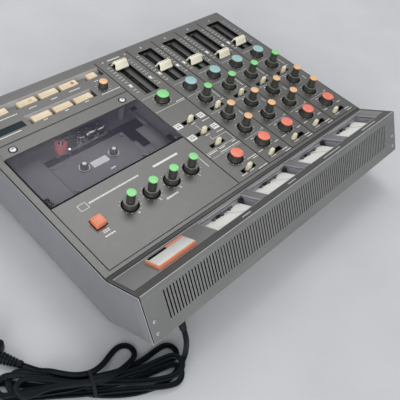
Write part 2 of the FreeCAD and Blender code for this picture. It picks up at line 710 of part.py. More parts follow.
def outer_profile():
    """The skirt of a double knob, on a hub that stands on the pot."""
    bore = s.stem_radius + s.shaft_gap
    hub = bore + s.hub_wall
    return [(bore, POT_TOP), (hub, POT_TOP), (hub, -s.knob_sink), (s.outer_knob, -s.knob_sink),
            (s.outer_knob - s.taper, s.outer_top), (bore, s.outer_top)]


def doubles():
    """Outer and inner rings of the mixer's double knobs, and the outer rings of the cue knobs."""
    made = []
    for i, (x, y) in enumerate(double_knobs() + cue_knobs()):
        made.append(turned(f"outer_ring_{i}", x, y, outer_profile()))
    for i, (x, y) in enumerate(double_knobs()):
        made.append(turned(f"inner_ring_{i}", x, y, inner_profile(s.inner_top, s.inner_knob)))
    node("double_knobs", group("double_knobs_group", made))
    for i, (x, y) in enumerate(cue_knobs()):
        name = f"cue_knob_{i + 1}"
        node(name, turned(name + "_body", x, y, inner_profile(s.inner_top, s.inner_knob)), x, y)


def pitch_knob():
    stem_end = POT_TOP - s.stem_grip
    body = turned("pitch_knob_body", s.pitch_x, s.pitch_y, [
        (0, stem_end), (s.stem_radius, stem_end), (s.stem_radius, -s.knob_sink),
        (s.pitch_radius, -s.knob_sink), (s.pitch_radius - s.taper, s.pitch_top), (0, s.pitch_top)])
    node("pitch_knob", body, s.pitch_x, s.pitch_y)


def switch_caps():
    """Slide switches: a lever standing in its slot on a block below the panel."""
    made = []
    for i, (x, y) in enumerate(switches()):
        half = s.switch_cap / 2
        reach = s.switch_cap_long / 2
        base = box(f"switch_block_{i}", (x - s.switch_long / 2, x + s.switch_long / 2),
                   (y - s.switch_wide / 2, y + s.switch_wide / 2), (BOARD_TOP, -s.switch_drop))
        lever = box(f"switch_lever_{i}", (x - reach, x + reach), (y - half, y + half),
                    (-s.switch_drop * 2, s.switch_top))
        made.append(fuse(f"switch_{i}", [base, lever]))
    node("slide_switches", group("switches_group", made))


def fader_caps():
    """Tent-shaped caps with concave flanks, on a lever through the well's slot."""
    names = [f"fader_cap_{i + 1}" for i in range(4)] + ["fader_cap_master"]
    for name, x, y in zip(names, STRIPS, FADER_REST):
        end = s.cap_long / 2
        ridge = s.cap_ridge / 2
        wall = s.cap_wall
        low = s.cap_foot - s.well_deep
        waist = s.cap_neck / 2
        shell = slab(name + "_shell", [
            (-end, low), (-end, low + wall), (-waist, s.cap_waist), (-ridge, s.cap_top), (ridge, s.cap_top),
            (waist, s.cap_waist), (end, low + wall), (end, low), (waist, s.cap_waist - wall * 2),
            (ridge, s.cap_waist), (-ridge, s.cap_waist), (-waist, s.cap_waist - wall * 2)], s.cap_wide / 2)
        lever = box(name + "_lever", (-s.lever_wide / 2, s.lever_wide / 2),
                    (-s.lever_long / 2, s.lever_long / 2), (-s.lever_end, s.cap_waist + wall))
        node(name, fuse(name + "_body", [shell, lever]), x, y)


# ---- keys and buttons ----

def push_key(name, x, y, long, wide, top, under):
    """A key that is kept from rising by a flange under the panel."""
    cap = box(name + "_cap", (-long / 2, long / 2), (-wide / 2, wide / 2),
              (under - s.gap - s.flange_thick, top))
    flange = box(name + "_flange", (-long / 2 - s.key_flange, long / 2 + s.key_flange),
                 (-wide / 2 - s.key_flange, wide / 2 + s.key_flange),
                 (under - s.gap - s.flange_thick, under - s.gap))
    node(name, fuse(name + "_body", [cap, flange]), x, y)


def keys():
    for name, x, y, long in full_keys():
        push_key(name, x, y, long, s.key_wide, s.key_top, KEY_WELL_UNDER)
    push_key("power_button", s.power_x, s.power_y, s.power_wide, s.power_wide, s.power_top, -s.sheet)


def tape_counter():
    """A window block in the panel, on a flange against the panel's underside."""
    flange = s.ledge
    window = box("counter_window", (s.counter_left, s.counter_right), (s.counter_front, s.counter_rear),
                 (-s.counter_deep, -s.counter_sink))
    back = box("counter_back", (s.counter_left - flange, s.counter_right + flange),
               (s.counter_front - flange, s.counter_rear + flange), (-s.counter_deep, -s.sheet))
    node("tape_counter", fuse("tape_counter_body", [window, back]))


# ---- cassette deck ----

def ear_ends():
    """Where each hinge ear starts and ends along x, and where its arm lies."""
    left = (DECK_LEFT, DECK_LEFT + s.ear_long)
    right = (DECK_RIGHT - s.ear_long, DECK_RIGHT)
    left_arm = (left[1] + s.gap, left[1] + s.gap + s.arm_wide)
    right_arm = (right[0] - s.gap - s.arm_wide, right[0] - s.gap)
    return (left, left_arm), (right, right_arm)


def deck_chassis():
    """The tub under the door: cassette rest, strip posts, hinge ears and bearing boss."""
    wall = s.deck_wall
    tub = cut("tub", box("tub_outside", (DECK_LEFT - wall, DECK_RIGHT + wall),
                         (s.deck_front - wall, s.deck_back_wall + wall), (DECK_UNDER, -s.sheet)),
              [box("tub_room", (DECK_LEFT, DECK_RIGHT), (s.deck_front, s.deck_back_wall),
                   (-s.deck_floor, Size.of(0)))])
    rest = cut("cassette_rest", box("rest_block", (s.rest_left, s.rest_right), (s.rest_front, s.rest_rear),
                                    (-s.deck_floor - wall / 2, -s.rest_drop)),
               [box("rest_room", (s.rest_left + wall, s.rest_right - wall),
                    (s.rest_front + wall, s.rest_rear - wall), (-s.deck_floor, -s.rest_drop - wall))])
    members = [tub, rest]
    for i, x in enumerate(STRIP_SCREWS):
        members.append(rod(f"strip_post_{i}", s.post_radius, x, s.strip_screw_y,
                           (-s.deck_floor - wall / 2, -s.strip_thick)))
    for i, (ear, _) in enumerate(ear_ends()):
        members.append(rod_across(f"hinge_ear_{i}", s.ear_radius, ear, s.hinge_y, -s.hinge_drop))
    members.append(rod("bearing_boss", s.boss_radius, s.capstan_x, s.capstan_y,
                       (-s.boss_bottom, -s.deck_floor)))
    bores = [rod_across("hinge_bore", s.pin_radius + s.shaft_gap, (DECK_LEFT, DECK_RIGHT), s.hinge_y,
                        -s.hinge_drop),
             rod("capstan_bore", s.capstan_radius + s.shaft_gap, s.capstan_x, s.capstan_y,
                 (-s.case_deep, Size.of(0)))]
    for i, x in enumerate((s.spindle_left, s.spindle_right)):
        bores.append(rod(f"spindle_bore_{i}", s.spindle_shaft + s.shaft_gap, x, s.spindle_y,
                         (-s.case_deep, -s.rest_drop + s.gap)))
    for i, x in enumerate(STRIP_SCREWS):
        bores.append(rod(f"post_bore_{i}", s.screw_shank + s.shaft_gap, x, s.strip_screw_y,
                         (-s.screw_long - s.gap, Size.of(0))))
    node("deck_chassis", cut("deck_chassis_body", fuse("chassis_solid", members), bores))


def cassette_door():
    """A smoky plate with two arms; their pins turn in the chassis ears."""
    plate = box("door_plate", (DECK_LEFT + s.door_gap, DECK_RIGHT - s.door_gap),
                (s.door_front, s.door_rear), (-s.door_thick, Size.of(0)))
    members = [plate]
    half = s.arm_half
    for i, (ear, arm) in enumerate(ear_ends()):
        members.append(box(f"door_arm_{i}", arm, (s.hinge_y - half, s.hinge_y + half),
                           (-s.hinge_drop - half, -s.door_thick / 2)))
        centre = arm[0] + s.arm_wide / 2
        pin = (ear[0] + s.gap, centre) if i == 0 else (centre, ear[1] - s.gap)
        members.append(rod_across(f"door_pin_{i}", s.pin_radius, pin, s.hinge_y, -s.hinge_drop))
    node("cassette_door", fuse("cassette_door_body", members))


def head_cover():
    strip = box("strip_plate", (DECK_LEFT + s.door_gap, DECK_RIGHT - s.door_gap),
                (s.strip_front, s.strip_rear), (-s.strip_thick, Size.of(0)))
    holes = [rod(f"strip_hole_{i}", s.screw_shank + s.shaft_gap, x, s.strip_screw_y, (-s.skin * 2, s.gap))
             for i, x in enumerate(STRIP_SCREWS)]
    node("head_cover", cut("head_cover_body", strip, holes))


def head_carriage():
    """Sliding plate with the head block and the roller's pin."""
    low = s.gap - s.deck_floor
    plate = box("carriage_plate", (s.carriage_left, s.carriage_right), (s.carriage_front, s.carriage_rear),
                (low, low + s.carriage_thick))
    heads = box("head_block", (s.head_left, s.head_right), (s.head_front, s.carriage_rear),
                (low + s.carriage_thick / 2, -s.head_top))
    pin = rod("roller_pin", s.roller_pin, s.roller_x, s.roller_y,
              (low + s.carriage_thick / 2, -s.head_top + s.carriage_thick))
    node("head_carriage", fuse("head_carriage_body", [plate, heads, pin]))


def pinch_roller():
    low = s.gap * 2 - s.deck_floor + s.carriage_thick
    bore = s.roller_pin + s.shaft_gap
    body = turned("pinch_roller_body", s.roller_x, s.roller_y, [
        (bore, low), (s.roller_radius, low), (s.roller_radius, low + s.roller_high),
        (bore, low + s.roller_high)])
    node("pinch_roller", body, s.roller_x, s.roller_y)


def reel_spindles():
    for name, x in (("reel_spindle_left", s.spindle_left), ("reel_spindle_right", s.spindle_right)):
        seat = s.gap - s.rest_drop
        shoulder = -s.spindle_top - s.nose_high
        body = turned(name + "_body", x, s.spindle_y, [
            (0, DECK_UNDER), (s.spindle_shaft, DECK_UNDER), (s.spindle_shaft, seat), (s.spindle_flange, seat),
            (s.spindle_flange, seat + s.flange_rim), (s.spindle_radius, seat + s.flange_rim),
            (s.spindle_radius, shoulder), (s.spindle_nose, -s.spindle_top), (0, -s.spindle_top)])
        node(name, body, x, s.spindle_y)


def capstan_flywheel():
    top = -(s.boss_bottom + s.gap)
    body = turned("capstan_flywheel_body", s.capstan_x, s.capstan_y, [
        (0, top - s.wheel_thick), (s.wheel_radius, top - s.wheel_thick), (s.wheel_radius, top),
        (s.capstan_radius, top), (s.capstan_radius, -s.capstan_top), (0, -s.capstan_top)])
    node("capstan_flywheel", body, s.capstan_x, s.capstan_y)


def capstan_motor():
    """Motor on the bottom cover with its pulley level with the flywheel."""
    top = -(s.boss_bottom + s.gap + s.wheel_thick + s.motor_gap)
    can = rod("motor_can", s.motor_radius, s.motor_x, s.motor_y, (INNER_FLOOR, top))
    pulley = rod("motor_pulley", s.pulley_radius, s.motor_x, s.motor_y, (top, -(s.boss_bottom + s.gap)))
    node("capstan_motor", fuse("capstan_motor_body", [can, pulley]))


def belt_face(grow):
    """Outline of a belt round the flywheel and the pulley, as a face at z = 0."""
    wheel = Vector(s.capstan_x.value, s.capstan_y.value, 0)
    pulley = Vector(s.motor_x.value, s.motor_y.value, 0)
    big = s.wheel_radius.value + s.gap.value + grow
    small = s.pulley_radius.value + grow
    run = pulley - wheel
    base = math.atan2(run.y, run.x)
    spread = math.acos((big - small) / run.Length)

    def spot(centre, radius, angle):
        return centre + Vector(math.cos(angle), math.sin(angle), 0) * radius

    up, down = base + spread, base - spread
    wheel_up, wheel_back, wheel_down = (spot(wheel, big, angle) for angle in (up, base + math.pi, down))
    pulley_down, pulley_out, pulley_up = (spot(pulley, small, angle) for angle in (down, base, up))
    edges = [Part.Arc(wheel_up, wheel_back, wheel_down), Part.LineSegment(wheel_down, pulley_down),
             Part.Arc(pulley_down, pulley_out, pulley_up), Part.LineSegment(pulley_up, wheel_up)]
    return Part.Face(Part.Wire([edge.toShape() for edge in edges]))


def drive_belt():
    band = belt_face(s.belt_thick.value).cut(belt_face(0))
    high = -(s.boss_bottom.value + s.gap.value) - (s.wheel_thick.value - s.belt_wide.value) / 2
    solid = band.extrude(Vector(0, 0, -s.belt_wide.value))
    solid.translate(Vector(0, 0, high))
    shaped("drive_belt", solid)


# ---- electronics ----

def pot_spots():
    spots = [(x, y) for _, x, y in single_knobs()] + double_knobs() + cue_knobs()
    return spots + [(s.pitch_x, s.pitch_y)]


def control_pots():
    """Rotary pots under every knob, and slide pots under the fader wells."""
    made = []
    half = s.pot_wide / 2
    for i, (x, y) in enumerate(pot_spots()):
        case = box(f"pot_case_{i}", (x - half, x + half), (y - half, y + half), (BOARD_TOP, POT_TOP))
        bore = rod(f"pot_bore_{i}", s.stem_radius + s.shaft_gap, x, y,
                   (POT_TOP - s.stem_grip - s.gap, Size.of(0)))
        made.append(cut(f"pot_{i}", case, [bore]))
    for i, x in enumerate(STRIPS):
        case = box(f"slider_{i}", (x - s.slider_wide / 2, x + s.slider_wide / 2), (s.well_front, s.well_rear),
                   (BOARD_TOP, WELL_UNDER))
        room = box(f"slider_room_{i}", (x - s.lever_wide / 2 - s.gap, x + s.lever_wide / 2 + s.gap),
                   (s.slot_front, s.slot_rear), (-s.lever_end - s.gap * 2, Size.of(0)))
        made.append(cut(f"slide_pot_{i}", case, [room]))
    node("control_pots", group("control_pots_group", made))


def main_board():
    """Circuit board round the deck, with the switches under the keys."""
    low = BOARD_TOP - s.board_thick
    reach = CASE_HALF - s.board_gap
    whole = box("board_sheet", (-reach, reach), (s.board_front, s.board_rear), (low, BOARD_TOP))
    notch = box("board_notch", (s.board_notch_left, reach + s.gap),
                (s.board_notch_front, s.board_notch_rear), (low - s.gap, BOARD_TOP + s.gap))
    members = [cut("board_plate", whole, [notch])]
    spots = [(name, x, y, KEY_WELL_UNDER) for name, x, y, _ in full_keys()]
    spots.append(("power_button", s.power_x, s.power_y, -s.sheet))
    half = s.key_wide / 3
    for name, x, y, under in spots:
        top = under - s.gap * 2 - s.flange_thick - s.key_travel
        members.append(box(name + "_switch", (x - half, x + half), (y - half, y + half),
                           (low + s.board_thick / 2, top)))
    node("main_board", fuse("main_board_body", members))


def power_transformer():
    core = box("transformer_core", (s.coil_left, s.coil_right), (s.coil_front, s.coil_rear),
               (INNER_FLOOR, INNER_FLOOR + s.coil_high))
    node("power_transformer", group("transformer_group", [core]))


# ---- mains cord ----

TAIL_EDGE = ((298, 283), (309, 289.35))
HANK_OUTLINE = [(216, 384), (216, 366), (203, 364), (190, 357), (191, 344), (215, 337), (250, 332), (274, 320),
                (290, 303), *TAIL_EDGE, (335, 274), (350, 268), (352, 280), (325, 303),
                (300, 325), (282, 342), (262, 354), (240, 369)]
HANK_ENTRY = (216.0, 373.4)
TAIL_LONG = 18.0
ROUTE = [(182.0, 358.5, -48.1), (185.1, 363.8, -55.9), (190.9, 368.4, -62.5), (198.9, 371.7, -67.3),
         (208.3, 373.4, -69.8)]


def floor_z():
    return -(s.case_deep.value + s.foot_height.value)


def tube(points, radius):
    """A round bar along straight runs joined by tangent arcs."""
    edges = []
    start = points[0]
    for before, here, after in zip(points, points[1:], points[2:]):
        into = here - before
        out = after - here
        turn = into.getAngle(out)
        reach = 0.45 * min(into.Length, out.Length)
        bend = reach / math.tan(turn / 2)
        enter = along(here, before, reach)
        leave = along(here, after, reach)
        inward = ((enter - here).normalize() + (leave - here).normalize()).normalize()
        middle = here + inward * (bend / math.cos(turn / 2) - bend)
        edges.append(Part.LineSegment(start, enter).toShape())
        edges.append(Part.Arc(enter, middle, leave).toShape())
        print("cord bend radius", round(bend, 1))
        start = leave
    edges.append(Part.LineSegment(start, points[-1]).toShape())
    length = sum(edge.Length for edge in edges)
    disc = Part.Wire(Part.Circle(points[0], points[1] - points[0], radius).toShape())
    solid = Part.Wire(edges).makePipeShell([disc], True, False)
    ratio = solid.Volume / (math.pi * radius ** 2 * length)
    print("cord length", round(length, 1), "volume ratio", round(ratio, 4))
    return solid


def tail_start():
    """Where the tail leaves the hank, and its way out, square to that edge."""
    (x_one, y_one), (x_two, y_two) = TAIL_EDGE
    edge = Vector(x_two - x_one, y_two - y_one, 0).normalize()
    start = Vector((x_one + x_two) / 2, (y_one + y_two) / 2, floor_z() + s.cord_radius.value)
    return start, Vector(edge.y, -edge.x, 0)


def mains_cord():
    """The stretch that hangs from the gland to the hank, and the short tail to the plug."""
    radius = s.cord_radius.value
    turn = under_turn()
    mouth = Vector(0, s.tail_y.value, -s.tail_drop.value)
    exit_at = mouth + turn.multVec(Vector(GLAND_X, GLAND_ALONG, s.gland_long.value))
    bed = floor_z() + radius
    entry = Vector(HANK_ENTRY[0], HANK_ENTRY[1], bed)
    points = [exit_at] + [Vector(*spot) for spot in ROUTE] + [entry]
    hanging = tube(points, radius)
    start, way = tail_start()
    tail = Part.makeCylinder(radius, TAIL_LONG, start, way)
    shaped("mains_cord", Part.makeCompound([hanging, tail]))


def cord_hank():
    """The outer shape of the wound cord where it lies beside the rear corner."""
    low = floor_z()
    points = [Vector(x, y, low) for x, y in HANK_OUTLINE]
    face = Part.Face(Part.makePolygon(points + points[:1]))
    shaped("cord_hank", face.extrude(Vector(0, 0, s.hank_high.value)))


def mains_plug():
    """Ribbed strain relief, body and two flat blades, lying on the table."""
    radius = s.cord_radius.value
    start, way = tail_start()
    neck_at = start + way * TAIL_LONG
    lift = s.plug_high.value / 2 - radius
    relief = s.relief_long.value
    neck = Part.makeCone(radius, s.relief_end.value, relief)
    body = Part.makeBox(s.plug_wide.value, s.plug_high.value, s.plug_long.value)
    body.translate(Vector(-s.plug_wide.value / 2, -radius, relief))
    blades = []
    for side in (-1, 1):
        blade = Part.makeBox(s.blade_thick.value, s.blade_wide.value, s.blade_long.value)
        blade.translate(Vector(side * s.blade_pitch.value / 2 - s.blade_thick.value / 2,
                               lift - s.blade_wide.value / 2, relief + s.plug_long.value))
        blades.append(blade)
    under_table = Part.makeBox(s.plug_wide.value, s.plug_high.value, relief)
    under_table.translate(Vector(-s.plug_wide.value / 2, -radius - s.plug_high.value, 0))
    plug = neck.cut(under_table).fuse([body] + blades)
    across = Vector(0, 0, 1).cross(way)
    frame = Rotation(across, Vector(0, 0, 1), way, "ZYX")
    plug.Placement = FreeCAD.Placement(neck_at, frame)
    shaped("mains_plug", plug)


# ---- build, check and write ----

def check():
    """Every object has to be sound, and every node a valid solid."""
    for thing in doc.Objects:
        if "Invalid" in thing.State or "Error" in thing.State:
            raise RuntimeError(f"{thing.Label} failed: {thing.State}")
    for thing in nodes:
        if thing.Shape.isNull() or not thing.Shape.isValid() or not thing.Shape.Solids:
            raise RuntimeError(f"{thing.Label} has no valid solid")


for make in (case_frame, side_panels, rear_cover, bottom_cover, line_sockets, cord_gland, feet, screws, meters,
             badge, control_panel, knobs, doubles, pitch_knob, switch_caps, fader_caps, keys, tape_counter,
             deck_chassis, cassette_door, head_cover, head_carriage, pinch_roller, reel_spindles,
             capstan_flywheel, capstan_motor, drive_belt, control_pots, main_board, power_transformer,
             mains_cord, cord_hank, mains_plug):
    make()
doc.recompute()
check()
os.makedirs("parts", exist_ok=True)
for thing in nodes:
    thing.Shape.exportStep(f"parts/{thing.Label}.step")
    print(thing.Label, len(thing.Shape.Solids), round(thing.Shape.Volume))
print(len(nodes), "nodes")
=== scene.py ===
# %% [markdown]
# # Four track cassette recorder
# The real machine is a desktop case with a mixer on the left, a cassette deck on the right and a sloping bridge
# of four meters along the rear. The exact solids come from the CAD model; here they get their finishes, and the
# parts that need a closer look, such as knobs, faders, meters and the mains cord, are modelled again in more
# detail.

# %% Load the frame
import math

import bmesh
import bpy
from mathutils import Matrix, Vector


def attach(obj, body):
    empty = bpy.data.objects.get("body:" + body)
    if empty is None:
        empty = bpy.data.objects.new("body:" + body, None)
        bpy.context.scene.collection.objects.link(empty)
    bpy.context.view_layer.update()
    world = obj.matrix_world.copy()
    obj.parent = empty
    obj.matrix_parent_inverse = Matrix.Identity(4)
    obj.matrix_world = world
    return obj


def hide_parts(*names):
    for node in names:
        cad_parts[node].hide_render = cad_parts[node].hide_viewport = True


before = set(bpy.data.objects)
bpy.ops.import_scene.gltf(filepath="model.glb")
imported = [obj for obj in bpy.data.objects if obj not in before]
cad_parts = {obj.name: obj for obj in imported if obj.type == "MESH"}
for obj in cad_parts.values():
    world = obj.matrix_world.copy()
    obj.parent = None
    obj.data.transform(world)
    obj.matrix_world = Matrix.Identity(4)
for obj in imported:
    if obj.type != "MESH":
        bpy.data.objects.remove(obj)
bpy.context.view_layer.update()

# %% [markdown]
# The maker's drawing is in millimetres on the panel's face: x to the user's right, y to the rear, z up. One
# matrix takes that drawing into the frame in metres, so every piece below is drawn with the drawing's own
# numbers. Three more matrices lay a flat drawing on the meter bridge, on the rear face and on the slanted
# underside.

# %% Drawing planes
MM = 0.001
FRONT_TO_MIDDLE = 164
PANEL_HIGH = 73
PANEL = Matrix.Scale(MM, 4) @ Matrix.Translation((0, -FRONT_TO_MIDDLE, PANEL_HIGH))
BRIDGE_SLOPE = math.atan2(26, 43)
REAR_SLOPE = math.atan2(27.5, 48) - math.pi / 2
UNDER_SLOPE = -math.atan2(43, -62.5)


def tilted(place, slope):
    """A drawing plane that starts at a place on the panel's drawing and slopes about x."""
    return PANEL @ Matrix.Translation(place) @ Matrix.Rotation(slope, 4, "X")


BRIDGE = tilted((0, 282, 0), BRIDGE_SLOPE)
REAR = tilted((0, 327.6, 21.4), REAR_SLOPE)
UNDER = tilted((0, 352.5, -22), UNDER_SLOPE)
print("slopes in degrees", [round(math.degrees(slope), 1) for slope in (BRIDGE_SLOPE, REAR_SLOPE, UNDER_SLOPE)])

# %% [markdown]
# The controls stand in a few straight rows and columns, and many cells below need them: the columns of the
# channel strips and of the meters, the rows of the knobs, and the spots of the single controls beside the deck.

# %% Rows and columns
CHANNELS = [-193.4, -146.85, -100.3, -53.75]
MASTER = -3.1
STRIPS = CHANNELS + [MASTER]
CUES = [53.7, 83.9, 114.1, 144.3]
METERS = [-167.4, -87.35, -7.3, 72.75]
TRIM_ROW, TREBLE_ROW, BASS_ROW, SEND_ROW, PAN_ROW = 242.4, 212.5, 182.7, 141.6, 112
CUE_ROW = 223.4
PITCH_SPOT = (44.1, 51.2)
POWER_SPOT = (185.5, 222.3)
STRIP_SCREWS = [(41.2, 85.5), (196, 85.5)]
SPINDLES = {"reel_spindle_left": (97.7, 139.5), "reel_spindle_right": (140.2, 139.5)}
ROLLER_SPOT = (139.5, 93.5)
print("strips", len(STRIPS), "meters", len(METERS), "cue knobs", len(CUES))

# %% [markdown]
# The camera stands behind the machine's right rear corner and looks down over the deck and the mixer. Its place
# was solved once from the straight edges of the case, so it is written down as a position and two directions.

# %% Camera
CAMERA_SPOT = (0.4049, 0.3224, 0.5111)
lens = bpy.data.cameras.new("view")
lens.sensor_width = 36
lens.lens = 48.41
lens.clip_start = 0.01
camera = bpy.data.objects.new("view", lens)
bpy.context.scene.collection.objects.link(camera)
right = Vector((-0.6971, 0.6980, 0.1639)).normalized()
back = Vector((0.5525, 0.3773, 0.7432)).normalized()
up = back.cross(right)
turn = Matrix((right, up, back)).transposed().to_4x4()
camera.matrix_world = Matrix.Translation(CAMERA_SPOT) @ turn
bpy.context.scene.camera = camera
bpy.context.scene.view_settings.view_transform = "Standard"
print("camera", [round(number, 3) for number in camera.matrix_world.translation], "lens", round(lens.lens, 1))

# %% [markdown]
# Finishes are built from noise on Object coordinates, so that they stay on the piece when it moves. A large
# soft noise clouds the colour, a fine one gives the moulded or painted grain through roughness and bump, and
# the normal of a Bevel node against the plain normal finds the edges and lightens them. The lighter edge is
# partly wear, where an edge is handled a lot, and partly a painted highlight along the edges.

# %% Finish builder
def link(tree, source, target):
    tree.links.new(source, target)


def noise(tree, scale, detail=3.0):
    """A noise on the object's own coordinates; scale is in features per metre."""
    place = tree.nodes.new("ShaderNodeTexCoord")
    made = tree.nodes.new("ShaderNodeTexNoise")
    made.inputs["Scale"].default_value = scale
    made.inputs["Detail"].default_value = detail
    link(tree, place.outputs["Object"], made.inputs["Vector"])
    return made.outputs["Fac"]


def ranged(tree, value, low, high, start=0.3, end=0.7):
    """A value between start and end, stretched to lie between low and high."""
    step = tree.nodes.new("ShaderNodeMapRange")
    for name, number in (("From Min", start), ("From Max", end), ("To Min", low), ("To Max", high)):
        step.inputs[name].default_value = number
    link(tree, value, step.inputs["Value"])
    return step.outputs["Result"]


def mixed(tree, share, first, second):
    """Two colours mixed by a share; either may be a colour or another node's output."""
    mix = tree.nodes.new("ShaderNodeMix")
    mix.data_type = "RGBA"
    link(tree, share, mix.inputs["Factor"])
    for socket, colour in ((mix.inputs["A"], first), (mix.inputs["B"], second)):
        if isinstance(colour, tuple):
            socket.default_value = (*colour, 1)
        else:
            link(tree, colour, socket)
    return mix.outputs["Result"]


def edges_of(tree, radius):
    """1 along edges that bend within a radius, 0 on flat faces."""
    bevel = tree.nodes.new("ShaderNodeBevel")
    bevel.samples = 4
    bevel.inputs["Radius"].default_value = radius
    plain = tree.nodes.new("ShaderNodeNewGeometry")
    dot = tree.nodes.new("ShaderNodeVectorMath")
    dot.operation = "DOT_PRODUCT"
    link(tree, bevel.outputs["Normal"], dot.inputs[0])
    link(tree, plain.outputs["Normal"], dot.inputs[1])
    return ranged(tree, dot.outputs["Value"], 1, 0, 0.8, 0.995)


def finish(name, colour, rough, cloud=0.08, cloud_scale=14, grain=1500, depth=0.0, spread=0.05, wear_and_highlight=None,
           wear_and_highlight_radius=0.0006, dust=None, **sockets):
    """A finish with a clouded colour, a grain and, where given, lighter edges of wear and painted highlight, and
    a film of dust.
    """
    made = bpy.data.materials.new(name)
    made.use_nodes = True
    tree = made.node_tree
    shader = tree.nodes["Principled BSDF"]
    dark = tuple(c * (1 - cloud) for c in colour)
    light = tuple(min(1, c * (1 + cloud)) for c in colour)
    paint = mixed(tree, ranged(tree, noise(tree, cloud_scale, 5), 0, 1), dark, light)
    if dust:
        paint = mixed(tree, ranged(tree, noise(tree, cloud_scale * 9, 6), 0, dust[1], 0.5, 0.75), paint, dust[0])
    if wear_and_highlight:
        paint = mixed(tree, edges_of(tree, wear_and_highlight_radius), paint, wear_and_highlight)
    link(tree, paint, shader.inputs["Base Color"])
    fine = noise(tree, grain)
    link(tree, ranged(tree, fine, rough - spread, rough + spread), shader.inputs["Roughness"])
    if depth:
        bump = tree.nodes.new("ShaderNodeBump")
        bump.inputs["Strength"].default_value = 0.6
        bump.inputs["Distance"].default_value = depth
        link(tree, fine, bump.inputs["Height"])
        link(tree, bump.outputs["Normal"], shader.inputs["Normal"])
    for socket, number in sockets.items():
        shader.inputs[socket.replace("_", " ")].default_value = number
    made.diffuse_color = (*colour, 1)
    return made


def cap_plastic(name, colour):
    """The satin plastic of the knobs' coloured discs."""
    return finish(name, colour, 0.36, cloud=0.05, cloud_scale=60, grain=1300)


print("helpers:", ", ".join(one.__name__ for one in (noise, ranged, mixed, edges_of, finish, cap_plastic)))

# %% [markdown]
# The case is a grained dark moulding; the panel, the plate round the meters and the rear cover are sheet metal
# in a satin warm grey. Steel is zinc plated inside and chromed where it shows; the knobs are nearly black with
# bright caps pressed into them. The printing inks and the smoky door close the list.

# %% Finishes
# Lighter edges, where given, are partly wear and partly a painted highlight, such as the bright line along the
# case's ridge.
PALE_EDGE = (0.42, 0.42, 0.42)
case_grey = finish("case_grey", (0.066, 0.066, 0.065), 0.48, grain=2600, depth=0.00006, wear_and_highlight=(0.26, 0.26, 0.26),
                   wear_and_highlight_radius=0.0011)
cheek_grey = finish("cheek_grey", (0.165, 0.170, 0.182), 0.5, grain=2600, depth=0.00006, wear_and_highlight=PALE_EDGE)
panel_grey = finish("panel_grey", (0.070, 0.068, 0.062), 0.38, cloud=0.12, cloud_scale=9, grain=1800,
                    depth=0.00003, wear_and_highlight=(0.20, 0.195, 0.19), dust=((0.110, 0.103, 0.092), 0.35),
                    Specular_IOR_Level=0.85)
surround_grey = finish("surround_grey", (0.200, 0.196, 0.192), 0.4, cloud=0.08, cloud_scale=20, grain=1800,
                       depth=0.00003)
cover_grey = finish("cover_grey", (0.158, 0.160, 0.156), 0.48, grain=2000, depth=0.00004, wear_and_highlight=PALE_EDGE)
zinc = finish("zinc", (0.56, 0.56, 0.54), 0.38, cloud_scale=60, grain=400, spread=0.1, Metallic=1.0)
chrome = finish("chrome", (0.80, 0.80, 0.80), 0.14, cloud=0.03, grain=300, spread=0.04, Metallic=1.0)
dull_steel = finish("dull_steel", (0.36, 0.37, 0.38), 0.5, cloud=0.1, cloud_scale=300, grain=900)
screw_steel = finish("screw_steel", (0.72, 0.73, 0.74), 0.34, cloud=0.06, cloud_scale=300, grain=900,
                     Metallic=0.45)
black_rubber = finish("black_rubber", (0.012, 0.012, 0.012), 0.75, cloud=0.2, grain=1200, depth=0.00004,
                      Specular_IOR_Level=0.2)
knob_black = finish("knob_black", (0.047, 0.049, 0.042), 0.29, cloud=0.15, cloud_scale=90, grain=1500,
                    wear_and_highlight=(0.17, 0.17, 0.15), wear_and_highlight_radius=0.0004)
deck_grey = finish("deck_grey", (0.142, 0.139, 0.150), 0.5, grain=1800, depth=0.00004)
trough_grey = finish("trough_grey", (0.110, 0.108, 0.104), 0.5, grain=1500)
# Dark grey of the bands on the bridge, and painted shade on the trough floors and in the grille's blind slots.
dark_bands_and_painted_shade = finish("dark_bands_and_painted_shade", (0.042, 0.042, 0.042), 0.45, grain=1500)
# Black of real parts, and painted shade where a black sheet stands for a shaded hole, slot, wall or hollow.
black_parts_and_painted_shade = finish("black_parts_and_painted_shade", (0.006, 0.006, 0.006), 0.8, grain=1500, Specular_IOR_Level=0.1)
ivory = finish("ivory", (0.76, 0.62, 0.43), 0.38, cloud=0.06, cloud_scale=50, grain=1400, depth=0.00001,
               wear_and_highlight=(0.84, 0.74, 0.54), wear_and_highlight_radius=0.0004, Subsurface_Weight=0.08, Subsurface_Scale=0.001)
pale_ivory = finish("pale_ivory", (0.89, 0.84, 0.67), 0.4, cloud=0.04, cloud_scale=40, grain=1400, depth=0.00001,
                    wear_and_highlight=(0.92, 0.89, 0.76), wear_and_highlight_radius=0.0004)
lever_ivory = finish("lever_ivory", (0.86, 0.79, 0.59), 0.38, cloud=0.05, cloud_scale=60, grain=1400)
red_plastic = cap_plastic("red_plastic", (0.87, 0.20, 0.13))
blue_plastic = cap_plastic("blue_plastic", (0.31, 0.53, 0.53))
green_plastic = cap_plastic("green_plastic", (0.22, 0.70, 0.23))
orange_plastic = cap_plastic("orange_plastic", (0.84, 0.48, 0.24))
button_orange = finish("button_orange", (0.78, 0.24, 0.12), 0.4, cloud=0.06, cloud_scale=50, grain=1300,
                       wear_and_highlight=(0.8, 0.4, 0.28), wear_and_highlight_radius=0.0006)
smoky = finish("smoky", (0.120, 0.115, 0.170), 0.08, cloud=0.08, cloud_scale=20, grain=60, spread=0.02,
               Alpha=0.14, Specular_IOR_Level=0.36)
clear = finish("clear", (0.50, 0.52, 0.55), 0.25, cloud=0.02, grain=60, spread=0.02, Alpha=0.02)
